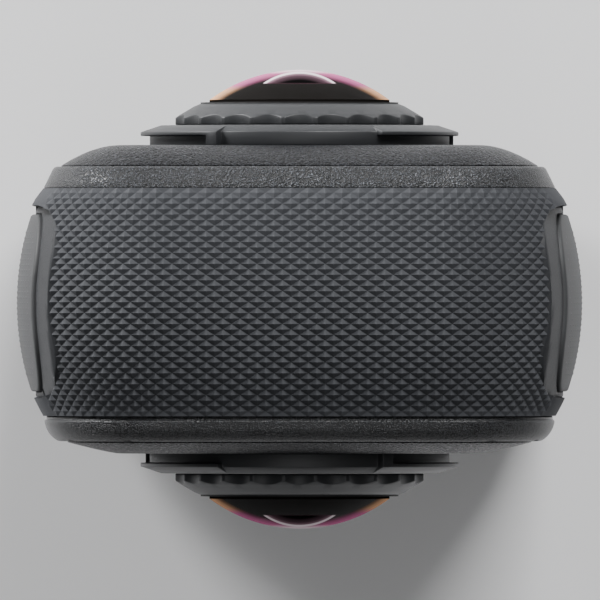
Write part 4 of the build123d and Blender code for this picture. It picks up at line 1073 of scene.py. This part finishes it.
class CAM_OT_lenses(bpy.types.Operator):
    """Turns the glass of both lenses and dresses their rings, mounts and barrels"""

    bl_idname = "cam360.lenses"
    bl_label = "Lenses"

    def execute(self, context):
        scene = context.scene
        trim = satin_coat("lens_coat", scene.cam_colours.trim)
        # Dome glass with a painted coloured reflection, painted dark at a slant and a painted pupil
        dome = glass_with_painted_sheen("dome_coating", scene.cam_colours, scene.cam_finish)
        elements = inner_glass("element_coating")
        edge_paint = matte_black("edge_paint", (0.007, 0.006, 0.0055), 0.7)
        barrel = matte_black("barrel_black")
        gasket = rubber("gasket_rubber", (0.006, 0.006, 0.0065))
        for side in ("front", "rear"):
            softened(trim, scene.cam_edge.trim, side + "_lens_mount", side + "_lens_ring")
            dome_glass(scene.cam_lens, side, dome, edge_paint)
            element_stack(scene.cam_lens, side, elements)
            dress(barrel, side + "_lens_barrel")
            dress(gasket, side + "_lens_gasket")
        return {"FINISHED"}


# Keys, doors, base and insides


class CAM_OT_controls(bpy.types.Operator):
    """Dresses the keys, the screen and the status light"""

    bl_idname = "cam360.controls"
    bl_label = "Keys and Screen"

    def execute(self, context):
        scene = context.scene
        key = moulded_plastic("key_satin", scene.cam_colours.key, 0.1, 0.004, (0.34, 0.44))
        softened(key, scene.cam_edge.key, "power_button", "quick_button", "shutter_button", "view_button")
        softened(polished_glass("screen_cover"), scene.cam_edge.screen, "screen_glass")
        dress(display_layers("display_raster", scene.cam_finish.display_pitch), "display_panel")
        dress(clear_guide("status_guide"), "status_light")
        return {"FINISHED"}


class CAM_OT_doors(bpy.types.Operator):
    """Dresses the doors in the sides with their latch, seals and pins"""

    bl_idname = "cam360.doors"
    bl_label = "Doors"

    def execute(self, context):
        scene = context.scene
        door = moulded_plastic("door_satin", scene.cam_colours.door, 0.12, 0.006, (0.44, 0.54))
        softened(door, scene.cam_edge.door, "battery_door", "port_door", "battery_latch")
        dress(rubber("seal_rubber", (0.03, 0.03, 0.032)), "battery_door_seal", "port_door_seal")
        dress(brushed_metal("pin_steel", (0.6, 0.6, 0.62)), "battery_door_pin", "port_door_pin")
        return {"FINISHED"}


class CAM_OT_base(bpy.types.Operator):
    """Dresses the foot and the tripod bush"""

    bl_idname = "cam360.base"
    bl_label = "Base"

    def execute(self, context):
        softened(rubber("foot_rubber"), context.scene.cam_edge.foot, "base_foot")
        dress(brushed_metal("bush_brass", (0.72, 0.55, 0.28), (0.2, 0.35), (0.06, 0.06, 1)), "tripod_bush")
        return {"FINISHED"}


class CAM_OT_insides(bpy.types.Operator):
    """Dresses the pieces inside the shell"""

    bl_idname = "cam360.insides"
    bl_label = "Insides"

    def execute(self, context):
        sizes = context.scene.cam_finish
        steel = brushed_metal("part_steel", (0.62, 0.62, 0.64))
        dress(steel, "rear_case_screws", "front_case_screws", "lens_mount_screws", "chip_shields")
        dress(steel, "card_socket", "charging_socket", "microphones")
        dress(cast_alloy("cast_alloy", (0.55, 0.56, 0.58)), "lens_block", "heat_spreader")
        board = circuit_board("board_mask", (0.01, 0.07, 0.03))
        dress(board, "main_board", "front_sensor_board", "rear_sensor_board")
        dress(sensor_window("sensor_cover", sizes.sensor_pitch), "front_image_sensor", "rear_image_sensor")
        dress(cell_wrap("battery_wrap", sizes), "battery")
        plain = moulded_plastic("inner_black", (0.02, 0.02, 0.022), 0.2, 0.008, (0.42, 0.56))
        dress(plain, "battery_tray", "battery_contacts", "memory_card", "side_key_switches")
        dress(plain, "face_key_switches", "speaker")
        film = ribbon_film("amber_film", (0.4, 0.2, 0.05), sizes.track_pitch)
        dress(film, "front_sensor_ribbon", "rear_sensor_ribbon", "radio_aerial")
        return {"FINISHED"}


# Stage


def plain_floor(half):
    """Square floor at the camera's foot."""
    ground = bmesh.new()
    bmesh.ops.create_grid(ground, x_segments=4, y_segments=4, size=half)
    mesh = bpy.data.meshes.new("floor")
    ground.to_mesh(mesh)
    ground.free()
    floor = placed("floor", mesh)
    return mesh


def soft_light(name, place, aim, width, height, watts):
    """Rectangular soft light that looks at a point."""
    lamp = bpy.data.lights.new(name, "AREA")
    lamp.shape = "RECTANGLE"
    lamp.size, lamp.size_y = width, height
    lamp.energy = watts
    light = placed(name, lamp)
    light.location = place
    light.rotation_euler = (aim - Vector(place)).to_track_quat("-Z", "Y").to_euler()


def even_light(strength):
    """White light of one strength from all round."""
    world = bpy.data.worlds.new("even_light")
    world.use_nodes = True
    background = world.node_tree.nodes["Background"]
    background.inputs["Color"].default_value = (1, 1, 1, 1)
    background.inputs["Strength"].default_value = strength
    return world


class CAM_OT_stage(bpy.types.Operator):
    """Adds the floor, the light and the camera over the object"""

    bl_idname = "cam360.stage"
    bl_label = "Stage"

    def execute(self, context):
        scene = context.scene
        stage = scene.cam_stage
        floor = plain_floor(stage.half_floor)
        floor.materials.append(plain_paper("floor_paper", stage.floor))
        aim = Vector(stage.aim)
        for name, (place, width, height) in LIGHTS.items():
            soft_light(name + "_light", place, aim, width, height, getattr(stage, name))
        scene.world = even_light(stage.world)
        lens = bpy.data.cameras.new("camera")
        lens.lens = stage.lens
        lens.clip_start, lens.clip_end = stage.near, stage.far
        scene.camera = placed("camera", lens)
        scene.camera.location = aim + Vector((0, 0, stage.lens / lens.sensor_width * stage.view))
        return {"FINISHED"}


# Panel and registration


OPERATORS = (
    CAM_OT_grip, CAM_OT_shell, CAM_OT_pads, CAM_OT_lenses, CAM_OT_controls, CAM_OT_doors, CAM_OT_base,
    CAM_OT_insides, CAM_OT_stage,
)
GROUPS = {
    "cam_grip": CAM_PG_grip,
    "cam_channel": CAM_PG_channel,
    "cam_pad": CAM_PG_pad,
    "cam_lens": CAM_PG_lens,
    "cam_edge": CAM_PG_edge,
    "cam_finish": CAM_PG_finish,
    "cam_colours": CAM_PG_colours,
    "cam_stage": CAM_PG_stage,
}


class CAM_PT_looks(bpy.types.Panel):
    """Lists the steps that dress the camera"""

    bl_idname = "CAM_PT_looks"
    bl_label = "Camera Looks"
    bl_space_type = "VIEW_3D"
    bl_region_type = "UI"
    bl_category = "Camera Looks"

    def draw(self, context):
        for operator in OPERATORS:
            self.layout.operator(operator.bl_idname)
        for name, group in GROUPS.items():
            box = self.layout.box()
            for size in group.__annotations__:
                box.prop(getattr(context.scene, name), size)


def register():
    for kind in (*GROUPS.values(), *OPERATORS, CAM_PT_looks):
        bpy.utils.register_class(kind)
    for name, group in GROUPS.items():
        setattr(bpy.types.Scene, name, PointerProperty(type=group))


def unregister():
    for name in GROUPS:
        delattr(bpy.types.Scene, name)
    for kind in reversed((*GROUPS.values(), *OPERATORS, CAM_PT_looks)):
        bpy.utils.unregister_class(kind)


def main():
    register()
    for operator in OPERATORS:
        getattr(bpy.ops.cam360, operator.bl_idname.split(".")[1])()


if __name__ == "__main__":
    main()
